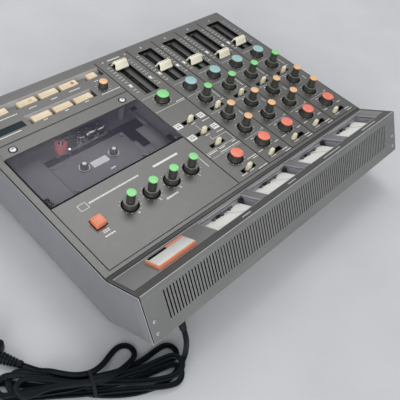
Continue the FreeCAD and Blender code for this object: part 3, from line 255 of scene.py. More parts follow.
meter_cream = finish("meter_cream", (0.93, 0.91, 0.86), 0.6, cloud=0.02, cloud_scale=30)
meter_grey = finish("meter_grey", (0.42, 0.42, 0.45), 0.45, cloud=0.06, cloud_scale=30)
coil_green = finish("coil_green", (0.075, 0.090, 0.080), 0.5, cloud=0.2, cloud_scale=200)
window_teal = finish("window_teal", (0.014, 0.028, 0.036), 0.4, cloud=0.1, spread=0.03, grain=60,
                     Specular_IOR_Level=0.08)
board_green = finish("board_green", (0.045, 0.16, 0.06), 0.4, cloud=0.25, cloud_scale=120)
roller_red = finish("roller_red", (0.78, 0.17, 0.20), 0.55, cloud=0.08, cloud_scale=80)
slope_painted_highlight = finish("slope_painted_highlight", (0.36, 0.355, 0.345), 0.42, cloud=0.06, cloud_scale=30)
painted_highlight_pale = finish("painted_highlight_pale", (0.56, 0.56, 0.55), 0.4, cloud=0.06, cloud_scale=30)
label_pale = finish("label_pale", (0.86, 0.84, 0.90), 0.5, cloud=0.04, cloud_scale=80)
white_ink = finish("white_ink", (0.80, 0.80, 0.77), 0.5, cloud=0.05, cloud_scale=80)
grey_ink = finish("grey_ink", (0.42, 0.41, 0.39), 0.5, cloud=0.05, cloud_scale=80)
black_ink = finish("black_ink", (0.006, 0.006, 0.006), 0.8, cloud=0.1, cloud_scale=80, Specular_IOR_Level=0.1)
key_ink = finish("key_ink", (0.42, 0.15, 0.11), 0.5, cloud=0.08, cloud_scale=200)
silver = finish("silver", (0.74, 0.75, 0.71), 0.35, cloud=0.04, cloud_scale=120, grain=900, Metallic=0.3)
cord_black = finish("cord_black", (0.005, 0.008, 0.011), 0.45, cloud=0.2, cloud_scale=60, grain=500, spread=0.08,
                    Specular_IOR_Level=0.12)
brass = finish("brass", (0.72, 0.62, 0.38), 0.3, cloud=0.05, cloud_scale=200, Metallic=1.0)
cap_line = finish("cap_line", (0.74, 0.68, 0.56), 0.5, cloud=0.05)
lip_painted_highlight = finish("lip_painted_highlight", (0.22, 0.22, 0.19), 0.3, cloud=0.1, cloud_scale=60)
print("finishes", len(bpy.data.materials))

# %% [markdown]
# Every new piece starts as a small bmesh, drawn in millimetres, and is laid in the frame at the very end, so
# that its object stays at the origin. The helpers below add a rounded block, a turned shape or a bar of any
# outline to a bmesh; each gives its own faces a finish by number.

# %% Modelling helpers
def new_piece(name, bm, body, slot, finishes, plane=PANEL, sharp=35, instead=()):
    """Lay a drawing in the frame and make it a piece that rides on a body."""
    bmesh.ops.transform(bm, matrix=plane, verts=bm.verts)
    mesh = bpy.data.meshes.new(name)
    bm.to_mesh(mesh)
    bm.free()
    for one in finishes:
        mesh.materials.append(one)
    mesh.shade_smooth()
    mesh.set_sharp_from_angle(angle=math.radians(sharp))
    piece = bpy.data.objects.new(name, mesh)
    bpy.context.scene.collection.objects.link(piece)
    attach(piece, body)
    if instead:
        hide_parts(*instead)
    return piece


def dressed(bm, node, slot, finishes):
    """A finer piece that takes the place of a moving node and rides on its body."""
    return new_piece(node + "_dressed", bm, node, slot, finishes, instead=(node,))


def paint_new(bm, before, number):
    """Give the faces that weren't there before the finish of that number."""
    for face in bm.faces:
        if face not in before:
            face.material_index = number


def place_new(bm, before, matrix):
    """Move the points that weren't there before, and give them back."""
    made = [vert for vert in bm.verts if vert not in before]
    bmesh.ops.transform(bm, matrix=matrix, verts=made)
    return made


def block(bm, x, y, z, rim=0.0, number=0, steps=2):
    """A block between two numbers along each axis, with its edges rounded by rim."""
    before = set(bm.faces)
    spans = (x, y, z)
    place = Matrix.Translation([(low + high) / 2 for low, high in spans])
    size = Matrix.Diagonal([high - low for low, high in spans] + [1])
    verts = bmesh.ops.create_cube(bm, size=1, matrix=place @ size)["verts"]
    if rim:
        edges = list({edge for vert in verts for edge in vert.link_edges})
        bmesh.ops.bevel(bm, geom=edges, offset=rim, offset_type="OFFSET", segments=steps, profile=0.5,
                        affect="EDGES", material=-1)
    paint_new(bm, before, number)


def turned(bm, profile, x=0.0, y=0.0, columns=40, number=0):
    """A profile of radius and height, spun about an upright axis at x, y."""
    before = set(bm.faces)
    old = set(bm.verts)
    verts = [bm.verts.new((radius, 0, height)) for radius, height in profile]
    edges = [bm.edges.new(pair) for pair in zip(verts, verts[1:])]
    bmesh.ops.spin(bm, geom=verts + edges, cent=(0, 0, 0), axis=(0, 0, 1), angle=math.tau, steps=columns,
                   use_merge=True)
    made = [vert for vert in bm.verts if vert not in old]
    bmesh.ops.remove_doubles(bm, verts=made, dist=0.0005)
    made = [vert for vert in bm.verts if vert not in old]
    bmesh.ops.recalc_face_normals(bm, faces=[face for face in bm.faces if face not in before])
    bmesh.ops.translate(bm, vec=(x, y, 0), verts=made)
    paint_new(bm, before, number)
    return made


def bar(bm, outline, low, high, rim=0.0, number=0):
    """An outline in y and z, drawn out along x."""
    before = set(bm.faces)
    verts = [bm.verts.new((low, y, z)) for y, z in outline]
    face = bm.faces.new(verts)
    made = bmesh.ops.extrude_face_region(bm, geom=[face])["geom"]
    moved = [item for item in made if isinstance(item, bmesh.types.BMVert)]
    bmesh.ops.translate(bm, vec=(high - low, 0, 0), verts=moved)
    faces = [face for face in bm.faces if face not in before]
    bmesh.ops.recalc_face_normals(bm, faces=faces)
    if rim:
        ends = {edge for face in faces for edge in face.edges
                if len({round(vert.co.x, 4) for vert in edge.verts}) == 1}
        bmesh.ops.bevel(bm, geom=list(ends), offset=rim, offset_type="OFFSET", segments=2, profile=0.5,
                        affect="EDGES", material=-1, clamp_overlap=True)
    paint_new(bm, before, number)


print("helpers:", ", ".join(one.__name__ for one in (new_piece, dressed, block, turned, bar)))

# %% [markdown]
# Printing is flat geometry that floats a few hundredths of a millimetre over the paint, so it stays sharp in
# every view and in the export. A mark, a dot, a stroke and a number are enough for everything that is printed
# here, and a row of dashes stands where the real machine has small words.

# %% Printing helpers
INK = 0.04
DASHES = (1.5, 0.9, 1.9, 1.2)
DASH_GAP = 0.45
SHORTEST_DASH = 0.4
DASHES_AT_MOST = 60


def mark(bm, x, y, z=INK, number=0, angle=0.0):
    """A flat printed bar between two numbers along x and y, turned by an angle about its middle."""
    before = set(bm.faces)
    place = Matrix.Translation(((x[0] + x[1]) / 2, (y[0] + y[1]) / 2, z)) @ Matrix.Rotation(angle, 4, "Z")
    size = Matrix.Diagonal((x[1] - x[0], y[1] - y[0], 1, 1))
    bmesh.ops.create_grid(bm, x_segments=1, y_segments=1, size=0.5, matrix=place @ size)
    paint_new(bm, before, number)


def dot(bm, x, y, radius, z=INK, number=0, segments=10):
    """A round printed spot."""
    before = set(bm.faces)
    bmesh.ops.create_circle(bm, cap_ends=True, segments=segments, radius=radius,
                            matrix=Matrix.Translation((x, y, z)))
    paint_new(bm, before, number)


def stroke(bm, start, end, wide, z=INK, number=0):
    """A printed line from one spot to another."""
    long = math.dist(start, end)
    middle = ((start[0] + end[0]) / 2, (start[1] + end[1]) / 2)
    angle = math.atan2(end[1] - start[1], end[0] - start[0])
    mark(bm, (middle[0] - long / 2, middle[0] + long / 2), (middle[1] - wide / 2, middle[1] + wide / 2), z,
         number, angle)


def digit(bm, text, x, y, high, z=INK, number=0):
    """A plain printed number, made from a font curve that is a mesh before it is placed."""
    curve = bpy.data.curves.new("number", "FONT")
    curve.body = text
    curve.size = high
    curve.offset = high * 0.03
    curve.align_x = "CENTER"
    curve.align_y = "CENTER"
    holder = bpy.data.objects.new("number", curve)
    mesh = bpy.data.meshes.new_from_object(holder)
    mesh.transform(Matrix.Translation((x, y, z)))
    before = set(bm.faces)
    bm.from_mesh(mesh)
    paint_new(bm, before, number)
    bpy.data.objects.remove(holder)
    bpy.data.curves.remove(curve)
    bpy.data.meshes.remove(mesh)


def words(bm, first, last, y, high=1.3):
    """A row of dashes from one x to another, which stands where the machine has small print."""
    at = first
    for turn in range(DASHES_AT_MOST):
        long = min(DASHES[turn % len(DASHES)], last - at)
        if long < SHORTEST_DASH:
            break
        mark(bm, (at, at + long), (y - high / 2, y + high / 2))
        at += long + DASH_GAP


print("a row of words has dashes of", DASHES, "mm")

# %% [markdown]
# The mains cord leaves the gland under the rear, drops to the table and is wound into a loose hank that is
# folded eight times about its middle and tied there; a short tail leads to the plug. It is a flat twin flex, so
# a figure of eight is swept along one NURBS line. The line is drawn through every fold, in tenths of a
# millimetre in the frame, and a copy of it without a section gives the points that the tube is measured by.

# %% Cord route
CORD_TENTHS = [
    (1820, 1889, 331), (1820, 1945, 249), (1851, 1998, 171), (1909, 2044, 105), (1989, 2077, 57),
    (2083, 2094, 32), (2170, 2096, 27), (2281, 2075, 19), (2409, 2027, 16), (2538, 1954, 16), (2661, 1861, 16),
    (2786, 1744, 16), (2885, 1618, 16), (3003, 1472, 16), (3140, 1328, 16), (3265, 1188, 16), (3363, 1085, 16),
    (3429, 1065, 16), (3486, 1085, 16), (3519, 1132, 16), (3517, 1191, 16), (3478, 1242, 16), (3386, 1294, 16),
    (3260, 1370, 17), (3119, 1475, 25), (2987, 1583, 40), (2889, 1662, 48), (2787, 1736, 49), (2661, 1822, 49),
    (2518, 1925, 49), (2370, 2037, 49), (2242, 2128, 46), (2152, 2173, 34), (2090, 2180, 33), (2041, 2155, 60),
    (2015, 2108, 79), (2020, 2053, 78), (2058, 2005, 56), (2155, 1965, 25), (2297, 1917, 17), (2451, 1856, 25),
    (2612, 1780, 50), (2766, 1684, 63), (2879, 1576, 55), (2972, 1444, 45), (3038, 1323, 31), (3082, 1218, 19),
    (3124, 1142, 18), (3190, 1097, 28), (3269, 1103, 43), (3327, 1159, 49), (3337, 1240, 48), (3294, 1318, 49),
    (3201, 1397, 51), (3082, 1477, 60), (2966, 1557, 76), (2867, 1618, 91), (2760, 1664, 99), (2628, 1723, 88),
    (2469, 1789, 61), (2297, 1861, 48), (2133, 1936, 62), (2021, 1981, 73), (1956, 1979, 50), (1910, 1944, 22),
    (1893, 1890, 16), (1911, 1835, 16), (1963, 1798, 16), (2067, 1788, 19), (2216, 1789, 39), (2382, 1771, 79),
    (2570, 1714, 114), (2741, 1617, 117), (2871, 1505, 93), (2993, 1368, 72), (3111, 1245, 67), (3214, 1148, 72),
    (3292, 1089, 77), (3352, 1077, 68), (3403, 1099, 53), (3432, 1145, 45), (3430, 1202, 51), (3392, 1253, 70),
    (3289, 1306, 80), (3151, 1388, 88), (3012, 1489, 104), (2888, 1585, 124), (2767, 1669, 131),
    (2647, 1760, 123), (2509, 1865, 93), (2356, 1973, 70), (2204, 2074, 71), (2103, 2121, 94), (2039, 2126, 112),
    (1991, 2100, 115), (1966, 2052, 115), (1972, 1997, 115), (2012, 1951, 115), (2106, 1917, 104),
    (2245, 1876, 91), (2402, 1823, 112), (2585, 1761, 151), (2766, 1697, 165), (2874, 1598, 160),
    (2966, 1486, 142), (3054, 1374, 114), (3121, 1279, 88), (3178, 1227, 77), (3238, 1219, 86),
    (3289, 1247, 105), (3313, 1297, 112), (3305, 1353, 111), (3263, 1396, 110), (3168, 1425, 123),
    (3051, 1481, 155), (2945, 1562, 184), (2858, 1631, 197), (2767, 1690, 200), (2647, 1744, 195),
    (2515, 1762, 173), (2408, 1751, 130), (2324, 1731, 88), (2261, 1699, 47), (2225, 1648, 20), (2225, 1585, 16),
    (2264, 1534, 16), (2332, 1512, 16), (2423, 1526, 19), (2527, 1565, 47), (2635, 1596, 114), (2737, 1587, 145),
    (2830, 1521, 130), (2911, 1418, 109), (2979, 1315, 96), (3035, 1222, 16), (3080, 1144, 16), (3125, 1066, 16),
]
CORD_LINE = [tuple(number / 10000 for number in point) for point in CORD_TENTHS]
print("points along the cord", len(CORD_LINE))

# %% [markdown]
# The section is a figure of eight, drawn as a quarter and mirrored twice. Curves do the sweeping better than
# a bmesh would, because they keep the section upright along every bend; the tube is then made a mesh, and the
# curves are thrown away.

# %% Mains cord
CORD_WIDE = 5.4
CORD_HIGH = 3.0
CORD_VALLEY = 0.95
CORD_FLANK = [(0.4, 0.8), (0.78, 1.12), (1.06, 0.62)]


def nurbs(name, points, cyclic=False):
    """A smooth curve that is led by its points, open or closed."""
    curve = bpy.data.curves.new(name, "CURVE")
    curve.dimensions = "3D"
    line = curve.splines.new("NURBS")
    line.points.add(len(points) - 1)
    for spot, point in zip(line.points, points):
        spot.co = (*point, 1)
    line.use_cyclic_u = cyclic
    line.order_u = 3
    line.use_endpoint_u = not cyclic
    line.resolution_u = 6
    return curve


def figure_eight():
    """Half the flex on each side of a shallow valley."""
    wide, high = CORD_WIDE / 2 * MM, CORD_HIGH / 2 * MM
    quarter = [(0, CORD_VALLEY * MM)] + [(u * wide, v * high) for u, v in CORD_FLANK]
    right_side = quarter + [(x, -y) for x, y in reversed(quarter)]
    points = right_side + [(-x, y) for x, y in reversed(right_side)][1:-1]
    curve = nurbs("flex_section", [(x, y, 0) for x, y in points], cyclic=True)
    curve.splines[0].resolution_u = 2
    return bpy.data.objects.new("flex_section", curve)


route = nurbs("cord_route", CORD_LINE)
route.twist_mode = "Z_UP"
walker = bpy.data.objects.new("cord_route", route)
line_mesh = bpy.data.meshes.new_from_object(walker)
cord_points = [vert.co.copy() for vert in line_mesh.vertices]
cord_long = sum((b - a).length for a, b in zip(cord_points, cord_points[1:]))
section = figure_eight()
bpy.context.scene.collection.objects.link(section)
bpy.context.scene.collection.objects.link(walker)
route.bevel_mode = "OBJECT"
route.bevel_object = section
route.use_fill_caps = True
bpy.context.view_layer.update()
graph = bpy.context.evaluated_depsgraph_get()
tube = bpy.data.meshes.new_from_object(walker.evaluated_get(graph))
bm = bmesh.new()
bm.from_mesh(tube)
for thing in (walker, section):
    bpy.data.objects.remove(thing)
for face in bm.faces:
    face.material_index = 0
bmesh.ops.recalc_face_normals(bm, faces=bm.faces)
cord = new_piece("mains_flex", bm, "case", "cord_rubber", [cord_black], Matrix.Identity(4), sharp=60,
                 instead=("mains_cord", "cord_hank"))
heights = [vert.co.z for vert in cord.data.vertices]
print("cord", round(cord_long, 3), "m, from", round(min(heights), 4), "to", round(max(heights), 4), "m")

# %% [markdown]
# Where the flex ends, a ribbed strain relief runs into a moulded two pin plug that lies flat on the table. The
# ribs are rings of the relief itself; the body is a block with generous round edges and two grip hollows.

# %% Plug and cord tie
TAIL_WAY = Vector((0.5, -0.866, 0))
NECK = Vector((312.5, 270.6, -69.8))
PLUG_UNDER = -3.1
PIN_HIGH = 4.8
RIBS = 6
RIB_PITCH = 3.3
TIE_SPOT = (276.8, 331.4, -PANEL_HIGH)
TIE_WIDE = 3.2
TIE_REACH = 12.0
TIE_HIGH = 11.4
TIE_UNDER = 0.75
side_way = TAIL_WAY.cross(Vector((0, 0, 1)))
tail_turn = Matrix((side_way, TAIL_WAY, Vector((0, 0, 1)))).transposed().to_4x4()
TAIL = PANEL @ Matrix.Translation(NECK) @ tail_turn


def along_tail(bm, made):
    """Lay a shape turned about the upright axis down along the tail."""
    bmesh.ops.rotate(bm, cent=(0, 0, 0), matrix=Matrix.Rotation(-math.pi / 2, 3, "X"), verts=made)


bm = bmesh.new()
relief = [(0, -1.0), (3.3, -1.0), (3.5, 0)]
for i in range(RIBS):
    radius = 3.3 + 0.42 * i
    relief += [(radius + 0.5, 1.6 + RIB_PITCH * i), (radius + 0.5, 3.0 + RIB_PITCH * i),
               (radius - 0.5, 3.3 + RIB_PITCH * i), (radius - 0.4, 4.5 + RIB_PITCH * i)]
relief += [(6.0, 22.5), (0, 22.5)]
made = turned(bm, relief, columns=24)
along_tail(bm, made)
for vert in made:
    vert.co.z = max(vert.co.z, PLUG_UNDER)
block(bm, (-12.5, 12.5), (22, 52), (PLUG_UNDER, 12.8), 3.2, steps=4)
for side in (-1, 1):
    for i in range(4):
        block(bm, (side * 12.3 - 0.5, side * 12.3 + 0.5), (30 + 4 * i, 32 + 4 * i), (0.5, 9.2), 0.45)
    block(bm, (side * 6.35 - 0.75, side * 6.35 + 0.75), (51, 69), (PIN_HIGH - 3.2, PIN_HIGH + 3.2), 0.35, 1)
block(bm, (-9.6, 9.6), (51.5, 52.4), (-0.4, 10.2), 0.3, 0)
plug = new_piece("moulded_plug", bm, "case", "cord_rubber", [cord_black, brass], TAIL, instead=("mains_plug",))

bm = bmesh.new()
tie_turn = Matrix.Translation(TIE_SPOT) @ Matrix.Rotation(math.radians(-21), 4, "Z")
bmesh.ops.create_cone(bm, cap_ends=False, segments=32, radius1=1, radius2=1, depth=TIE_WIDE)
bmesh.ops.rotate(bm, cent=(0, 0, 0), matrix=Matrix.Rotation(math.pi / 2, 3, "Y"), verts=bm.verts)
for vert in bm.verts:
    vert.co.y *= TIE_REACH
    vert.co.z = max(TIE_UNDER, vert.co.z * TIE_HIGH + TIE_HIGH)
bmesh.ops.solidify(bm, geom=bm.faces, thickness=-0.7)
bmesh.ops.recalc_face_normals(bm, faces=bm.faces)
tie = new_piece("cord_tie", bm, "case", "cord_rubber", [black_rubber], PANEL @ tie_turn)
print("plug with", RIBS, "ribs, tie", 2 * TIE_REACH, "mm across")

# %% [markdown]
# The knobs are dark fluted bodies with a coloured disc pressed into the top. A fluted body is a turned shape
# whose every third column of points is pushed inwards. The single knobs are short and wide; the double ones
# have a wide lower ring, whose lip carries a painted highlight, and a slim upper one, which in the real machine
# turn on two shafts, one in the other. A black ring of painted shade lies in every hole of the panel, so a dark
# ring shows round the foot of each knob.

# %% Knob shapes
def fluted(bm, profile, x, y, low, high, columns=54, depth=0.05):
    """A turned shape with every third column of points pushed inwards between two heights."""
    for vert in turned(bm, profile, x, y, columns):
        if low < vert.co.z < high:
            column = round(math.atan2(vert.co.y - y, vert.co.x - x) / math.tau * columns) % 3
            if column == 0:
                vert.co.x = x + (vert.co.x - x) * (1 - depth)
                vert.co.y = y + (vert.co.y - y) * (1 - depth)


def cap(bm, x, y, radius, low, high, pointer):
    """The coloured disc with a thin pointer moulded across its rim."""
    turned(bm, [(0, low), (radius - 0.2, low), (radius, low + 0.15), (radius, high - 0.3),
                (radius - 0.2, high - 0.06), (radius - 0.5, high), (0, high)], x, y, 36, 1)
    way = (math.cos(pointer), math.sin(pointer))
    start = (x + way[0] * radius * 0.45, y + way[1] * radius * 0.45)
    end = (x + way[0] * (radius - 0.3), y + way[1] * (radius - 0.3))
    stroke(bm, start, end, 0.6, high + 0.05, 2)


def single_knob(name, x, y, colour, pointer):
    """A short wide knob that is a piece of its own and turns on its own body."""
    bm = bmesh.new()
    fluted(bm, [(0, -8), (2, -8), (2, -1.2), (8.4, -1.2), (8.4, -0.3), (8.1, 0), (7.9, 0.4), (7.7, 7.9),
                (7.5, 8.2), (0, 8.2)], x, y, 0.2, 8.0)
    cap(bm, x, y, 7.85, 8.2, 9.3, pointer)
    dressed(bm, name, SLOT_OF[colour], [knob_black, colour, cap_line])


def outer_ring(bm, x, y):
    """The wide lower ring of a double knob, with a painted highlight on its lip."""
    fluted(bm, [(2.1, -5), (3.2, -5), (3.2, -1.2), (8.3, -1.2), (8.3, 0.4), (8.15, 0.8), (8.0, 6.6), (7.85, 7.1),
                (7.5, 7.45), (6.2, 7.5), (2.1, 7.5), (2.1, -5)], x, y, 0.9, 6.5)
    # The lip's lighter finish is a painted highlight.
    turned(bm, [(7.95, 6.75), (8.08, 6.95), (8.02, 7.2), (7.7, 7.45), (7.5, 7.5), (7.5, 7.2), (7.95, 6.75)],
           x, y, 40, 2)


def inner_ring(bm, x, y, pointer, slim=4.95):
    """The slim upper knob of a double one, with its cap."""
    fluted(bm, [(0, -8), (2, -8), (2, 7.8), (slim, 7.8), (slim, 8.2), (slim - 0.05, 8.6), (slim - 0.3, 19.2),
                (slim - 0.35, 19.4), (0, 19.4)], x, y, 8.3, 19.3, 45, 0.06)
    cap(bm, x, y, slim + 0.35, 19.4, 20.6, pointer)


print("helpers:", ", ".join(one.__name__ for one in (fluted, cap, single_knob, outer_ring, inner_ring)))

# %% [markdown]
# Every knob that has a joint of its own is a piece of its own, with its pointer where the hand has left it: the
# trim, pan, master and pitch knobs, and the inner cue knobs. The rings below and the tone and send knobs stand
# still in the model, so they are set out in three shared pieces.

# %% Knobs
SLOT_OF = {red_plastic: "red_cap", blue_plastic: "blue_cap", green_plastic: "green_cap"}
UP = math.pi / 2
for i, x in enumerate(CHANNELS):
    single_knob(f"trim_knob_{i + 1}", x, TRIM_ROW, red_plastic, UP + (0.4, -0.5, 0.9, 0.1)[i])
    single_knob(f"pan_knob_{i + 1}", x, PAN_ROW, blue_plastic, UP)
single_knob("trim_knob_master", MASTER, TRIM_ROW, red_plastic, UP + 1.2)
single_knob("level_knob_master", MASTER, PAN_ROW, green_plastic, UP - 0.6)
for i, x in enumerate(CUES):
    bm = bmesh.new()
    inner_ring(bm, x, CUE_ROW, UP + (0.3, 0.8, -0.4, 0.2)[i])
    dressed(bm, f"cue_knob_{i + 1}", "green_cap", [knob_black, green_plastic, cap_line])
bm = bmesh.new()
for x in CHANNELS:
    for y in (TREBLE_ROW, BASS_ROW, SEND_ROW):
        outer_ring(bm, x, y)
for x in CUES:
    outer_ring(bm, x, CUE_ROW)
new_piece("lower_rings", bm, "case", "dark_plastic", [knob_black, knob_black, lip_painted_highlight],
          instead=("double_knobs",))
for label, colour, rows in (("tone", orange_plastic, (TREBLE_ROW, BASS_ROW)),
                            ("send", green_plastic, (SEND_ROW,))):
    bm = bmesh.new()
    for i, x in enumerate(CHANNELS):
        for y in rows:
            inner_ring(bm, x, y, UP + 0.5 * math.sin(i * 2.3 + y))
    new_piece(label + "_knobs", bm, "case", "dark_plastic", [knob_black, colour, cap_line])
bm = bmesh.new()
fluted(bm, [(0, -8), (2, -8), (2, -1.2), (6, -1.2), (6, 0.5), (5.85, 7.4), (5.6, 7.8), (0, 7.8)],
       *PITCH_SPOT, 0.2, 7.6, 48, 0.06)
cap(bm, *PITCH_SPOT, 5.45, 7.8, 8.8, UP)
dressed(bm, "pitch_knob", "orange_cap", [knob_black, orange_plastic, cap_line])
KNOB_SPOTS = [(x, y) for x in CHANNELS for y in (TRIM_ROW, TREBLE_ROW, BASS_ROW, SEND_ROW, PAN_ROW)]
KNOB_SPOTS += [(MASTER, TRIM_ROW), (MASTER, PAN_ROW)] + [(x, CUE_ROW) for x in CUES]
# A black ring in every knob hole: painted shade.
bm = bmesh.new()
for x, y in KNOB_SPOTS:
    turned(bm, [(3.5, -2.2), (9.4, -2.2), (9.4, -1.6), (3.5, -1.6), (3.5, -2.2)], x, y, 32)
new_piece("knob_hole_painted_shade", bm, "case", "dark_plastic", [black_parts_and_painted_shade])
print("knobs", len(KNOB_SPOTS) + 1, "of which", len(CHANNELS) * 3 + len(CUES), "are double")

# %% [markdown]
# A slide switch shows a tall ivory lever in a black slot. The lever is a block that narrows upwards, with three
# finger ridges on top; below it stands the switch's own body on the circuit board.

# %% Slide switches
# Each switch: its middle in x and y, and how far its lever is slid from there.
SWITCHES = [(x, 263.7, 8.0) for x in CHANNELS] + [(x, 162.7, -1.5) for x in CHANNELS]
SWITCHES += [(MASTER, 263.3, -1.0), (MASTER, 212, -1.5), (MASTER, 187.6, -1.0), (MASTER, 162.7, -1.5)]


def narrowed(bm, before, x, y, low, high, share):
    """Narrow the new points towards an upright axis, the more the higher they are."""
    for vert in bm.verts:
        if vert not in before and vert.co.z > low:
            pull = 1 - (1 - share) * (vert.co.z - low) / (high - low)
            vert.co.x = x + (vert.co.x - x) * pull
            vert.co.y = y + (vert.co.y - y) * pull


bm = bmesh.new()
for x, y, shift in SWITCHES:
    block(bm, (x - 12.1, x + 12.1), (y - 3.1, y + 3.1), (-14, -4.5), 0, 1)
    before = set(bm.verts)
    lever = x + shift
    block(bm, (lever - 3.8, lever + 3.8), (y - 2.5, y + 2.5), (-6, 7.4), 0.5, 0)
    for i in (-1, 0, 1):
        block(bm, (lever + i * 2.1 - 0.6, lever + i * 2.1 + 0.6), (y - 2.4, y + 2.4), (6.8, 7.9), 0.3, 0)
    narrowed(bm, before, lever, y, -4.5, 7.9, 0.74)
new_piece("switch_levers", bm, "case", "ivory_plastic", [lever_ivory, black_parts_and_painted_shade], instead=("slide_switches",))
print("switches", len(SWITCHES))

# %% [markdown]
# A fader cap is a tent that fits a finger: a ridge across, nearly straight flanks and a thin lip at the foot.
# Its side outline is drawn once and drawn out across the cap, and then the cap is made a little shorter towards
# its ridge. The underside is hollow, and a black block inside the hollow is painted shade, so the ends show a
# dark arch.

# %% Fader caps
# Each fader: its node, its column, and how far up its slot the cap stands.
FADERS = [(f"fader_cap_{i + 1}", CHANNELS[i], y) for i, y in enumerate((75.0, 84.9, 73.0, 60.0))]
FADERS += [("fader_cap_master", MASTER, 27.0)]
FLANK = [(6.7, -1.6), (6.75, -0.7), (6.45, -0.1), (5.75, 0.45), (5.1, 1.3), (4.5, 2.6), (3.95, 4.2),
         (3.35, 5.8), (2.6, 7.1), (1.75, 7.8), (0.8, 8.05)]
HOLLOW = [(5.2, -1.6), (4.4, -0.4), (3.6, 1.4), (2.8, 3.5), (1.5, 4.9)]
CAP_TAPER = 0.02
for name, x, y in FADERS:
    shape = [(-u, v) for u, v in FLANK] + [(0, 7.85)] + list(reversed(FLANK))
    shape += HOLLOW + [(-u, v) for u, v in reversed(HOLLOW)]
    bm = bmesh.new()
    bar(bm, [(y + u, v) for u, v in shape], x - 11, x + 11, 0.45)
    mark(bm, (x - 10.6, x + 10.6), (y - 0.28, y + 0.28), 7.92, 1)
    for vert in bm.verts:
        vert.co.x = x + (vert.co.x - x) * (1 - CAP_TAPER * max(0, vert.co.z))
    # A black block inside the hollow: painted shade for the dark arch at the ends.
    block(bm, (x - 9.2, x + 9.2), (y - 2.4, y + 2.4), (-1.0, 4.0), 0, 1)
    block(bm, (x - 0.8, x + 0.8), (y - 2, y + 2), (-10, 2), 0.1, 1)
    dressed(bm, name, "ivory_plastic", [pale_ivory, black_parts_and_painted_shade])
print("fader caps", len(FADERS))

# %% [markdown]
# The transport keys are ivory blocks in two pressed wells. Pale plates on the wells' front slopes are a painted
# highlight, paler than the panel. The tops are slightly dished, and only the plain signs of recording and
# pausing are printed on. The power button is a taller orange cap with a finger hollow.

# %% Keys and power button
REAR_KEYS, FRONT_KEYS = 56, 25.8
LONG_KEY, SHORT_KEY = 24, 12.6
KEYS = [("rewind_key", 79.1, REAR_KEYS, LONG_KEY), ("fast_forward_key", 109.1, REAR_KEYS, LONG_KEY),
        ("stop_key", 139.1, REAR_KEYS, LONG_KEY), ("record_key", 79.1, FRONT_KEYS, LONG_KEY),
        ("play_key", 109.1, FRONT_KEYS, LONG_KEY), ("pause_key", 139.1, FRONT_KEYS, LONG_KEY),
        ("zero_key", 43.2, FRONT_KEYS, SHORT_KEY), ("memo_key", 172.7, FRONT_KEYS, SHORT_KEY)]
SIGN_HIGH = 1.06


def key(bm, x, y, long, wide, under, top, dish, flange=True):
    """A rounded block with a dished top and, where asked, a flange that keeps it in its well."""
    before = set(bm.faces)
    block(bm, (x - long / 2, x + long / 2), (y - wide / 2, y + wide / 2), (under, top), 0.55, 0, 3)
    upper = [face for face in bm.faces if face not in before and face.normal.z > 0.99 and face.calc_area() > 20]
    bmesh.ops.inset_region(bm, faces=upper, thickness=0.8, depth=0)
    bmesh.ops.inset_region(bm, faces=upper, thickness=0.9, depth=-dish)
    if flange:
        block(bm, (x - long / 2 - 1, x + long / 2 + 1), (y - wide / 2 - 1, y + wide / 2 + 1),
              (under, under + 1.5), 0.2, 0)


for name, x, y, long in KEYS:
    bm = bmesh.new()
    key(bm, x, y, long, 9.6, -7.8, 1.2, 0.22)
    if name == "record_key":
        dot(bm, x - 5.4, y, 2.4, SIGN_HIGH, 1, 20)
    if name == "pause_key":
        for middle in (x - 5.7, x - 3.1):
            mark(bm, (middle - 0.5, middle + 0.5), (y - 1.8, y + 1.8), SIGN_HIGH, 1)
    dressed(bm, name, "ivory_plastic", [ivory, key_ink])
# Pale plates on the wells' front slopes: a painted highlight.
bm = bmesh.new()
for low, left, right_end in ((45.25, 61.4, 157.0), (15.05, 26.9, 208.8)):
    bar(bm, [(low, 0), (low + 5.2, -4.34), (low + 5.2, -4.15), (low, 0.15)], left, right_end)
new_piece("key_well_slope_highlights", bm, "case", "panel_paint", [slope_painted_highlight])
bm = bmesh.new()
key(bm, *POWER_SPOT, 12, 12, -3.3, 5.9, 0.8, flange=False)
dressed(bm, "power_button", "orange_cap", [button_orange])
print("keys", len(KEYS) + 1)

# %% [markdown]
# Each meter is a shallow pale tray behind a window. Its cream scale plate covers nearly the whole floor; the
# coil stands at the foot, and a hair thin needle reaches over the scale. A clear sheet closes the tray just
# below the case, and a pale rim lines the window. They are drawn flat and laid on the slope together.

# %% Meters
TRAY_HALF = 36.5
TRAY_LOW, TRAY_HIGH = 3.9, 38.9
TRAY_UNDER, TRAY_FLOOR, TRAY_TOP = -13.7, -12.2, -3.7
PLATE = -8.0
NEEDLE_FOOT = 3
SCALE_RADIUS = 27
SCALE_START, SCALE_END = 112, 42
SCALE_STEP = 7
ARC_STROKES = 12
NEEDLE_LEANS = (122, 121, 123, 121.5)


def round_foot(x, degrees, radius):
    """The spot that a meter's needle would point at, at an angle and a radius about its foot."""
    angle = math.radians(degrees)
    return x + radius * math.cos(angle), NEEDLE_FOOT + radius * math.sin(angle)


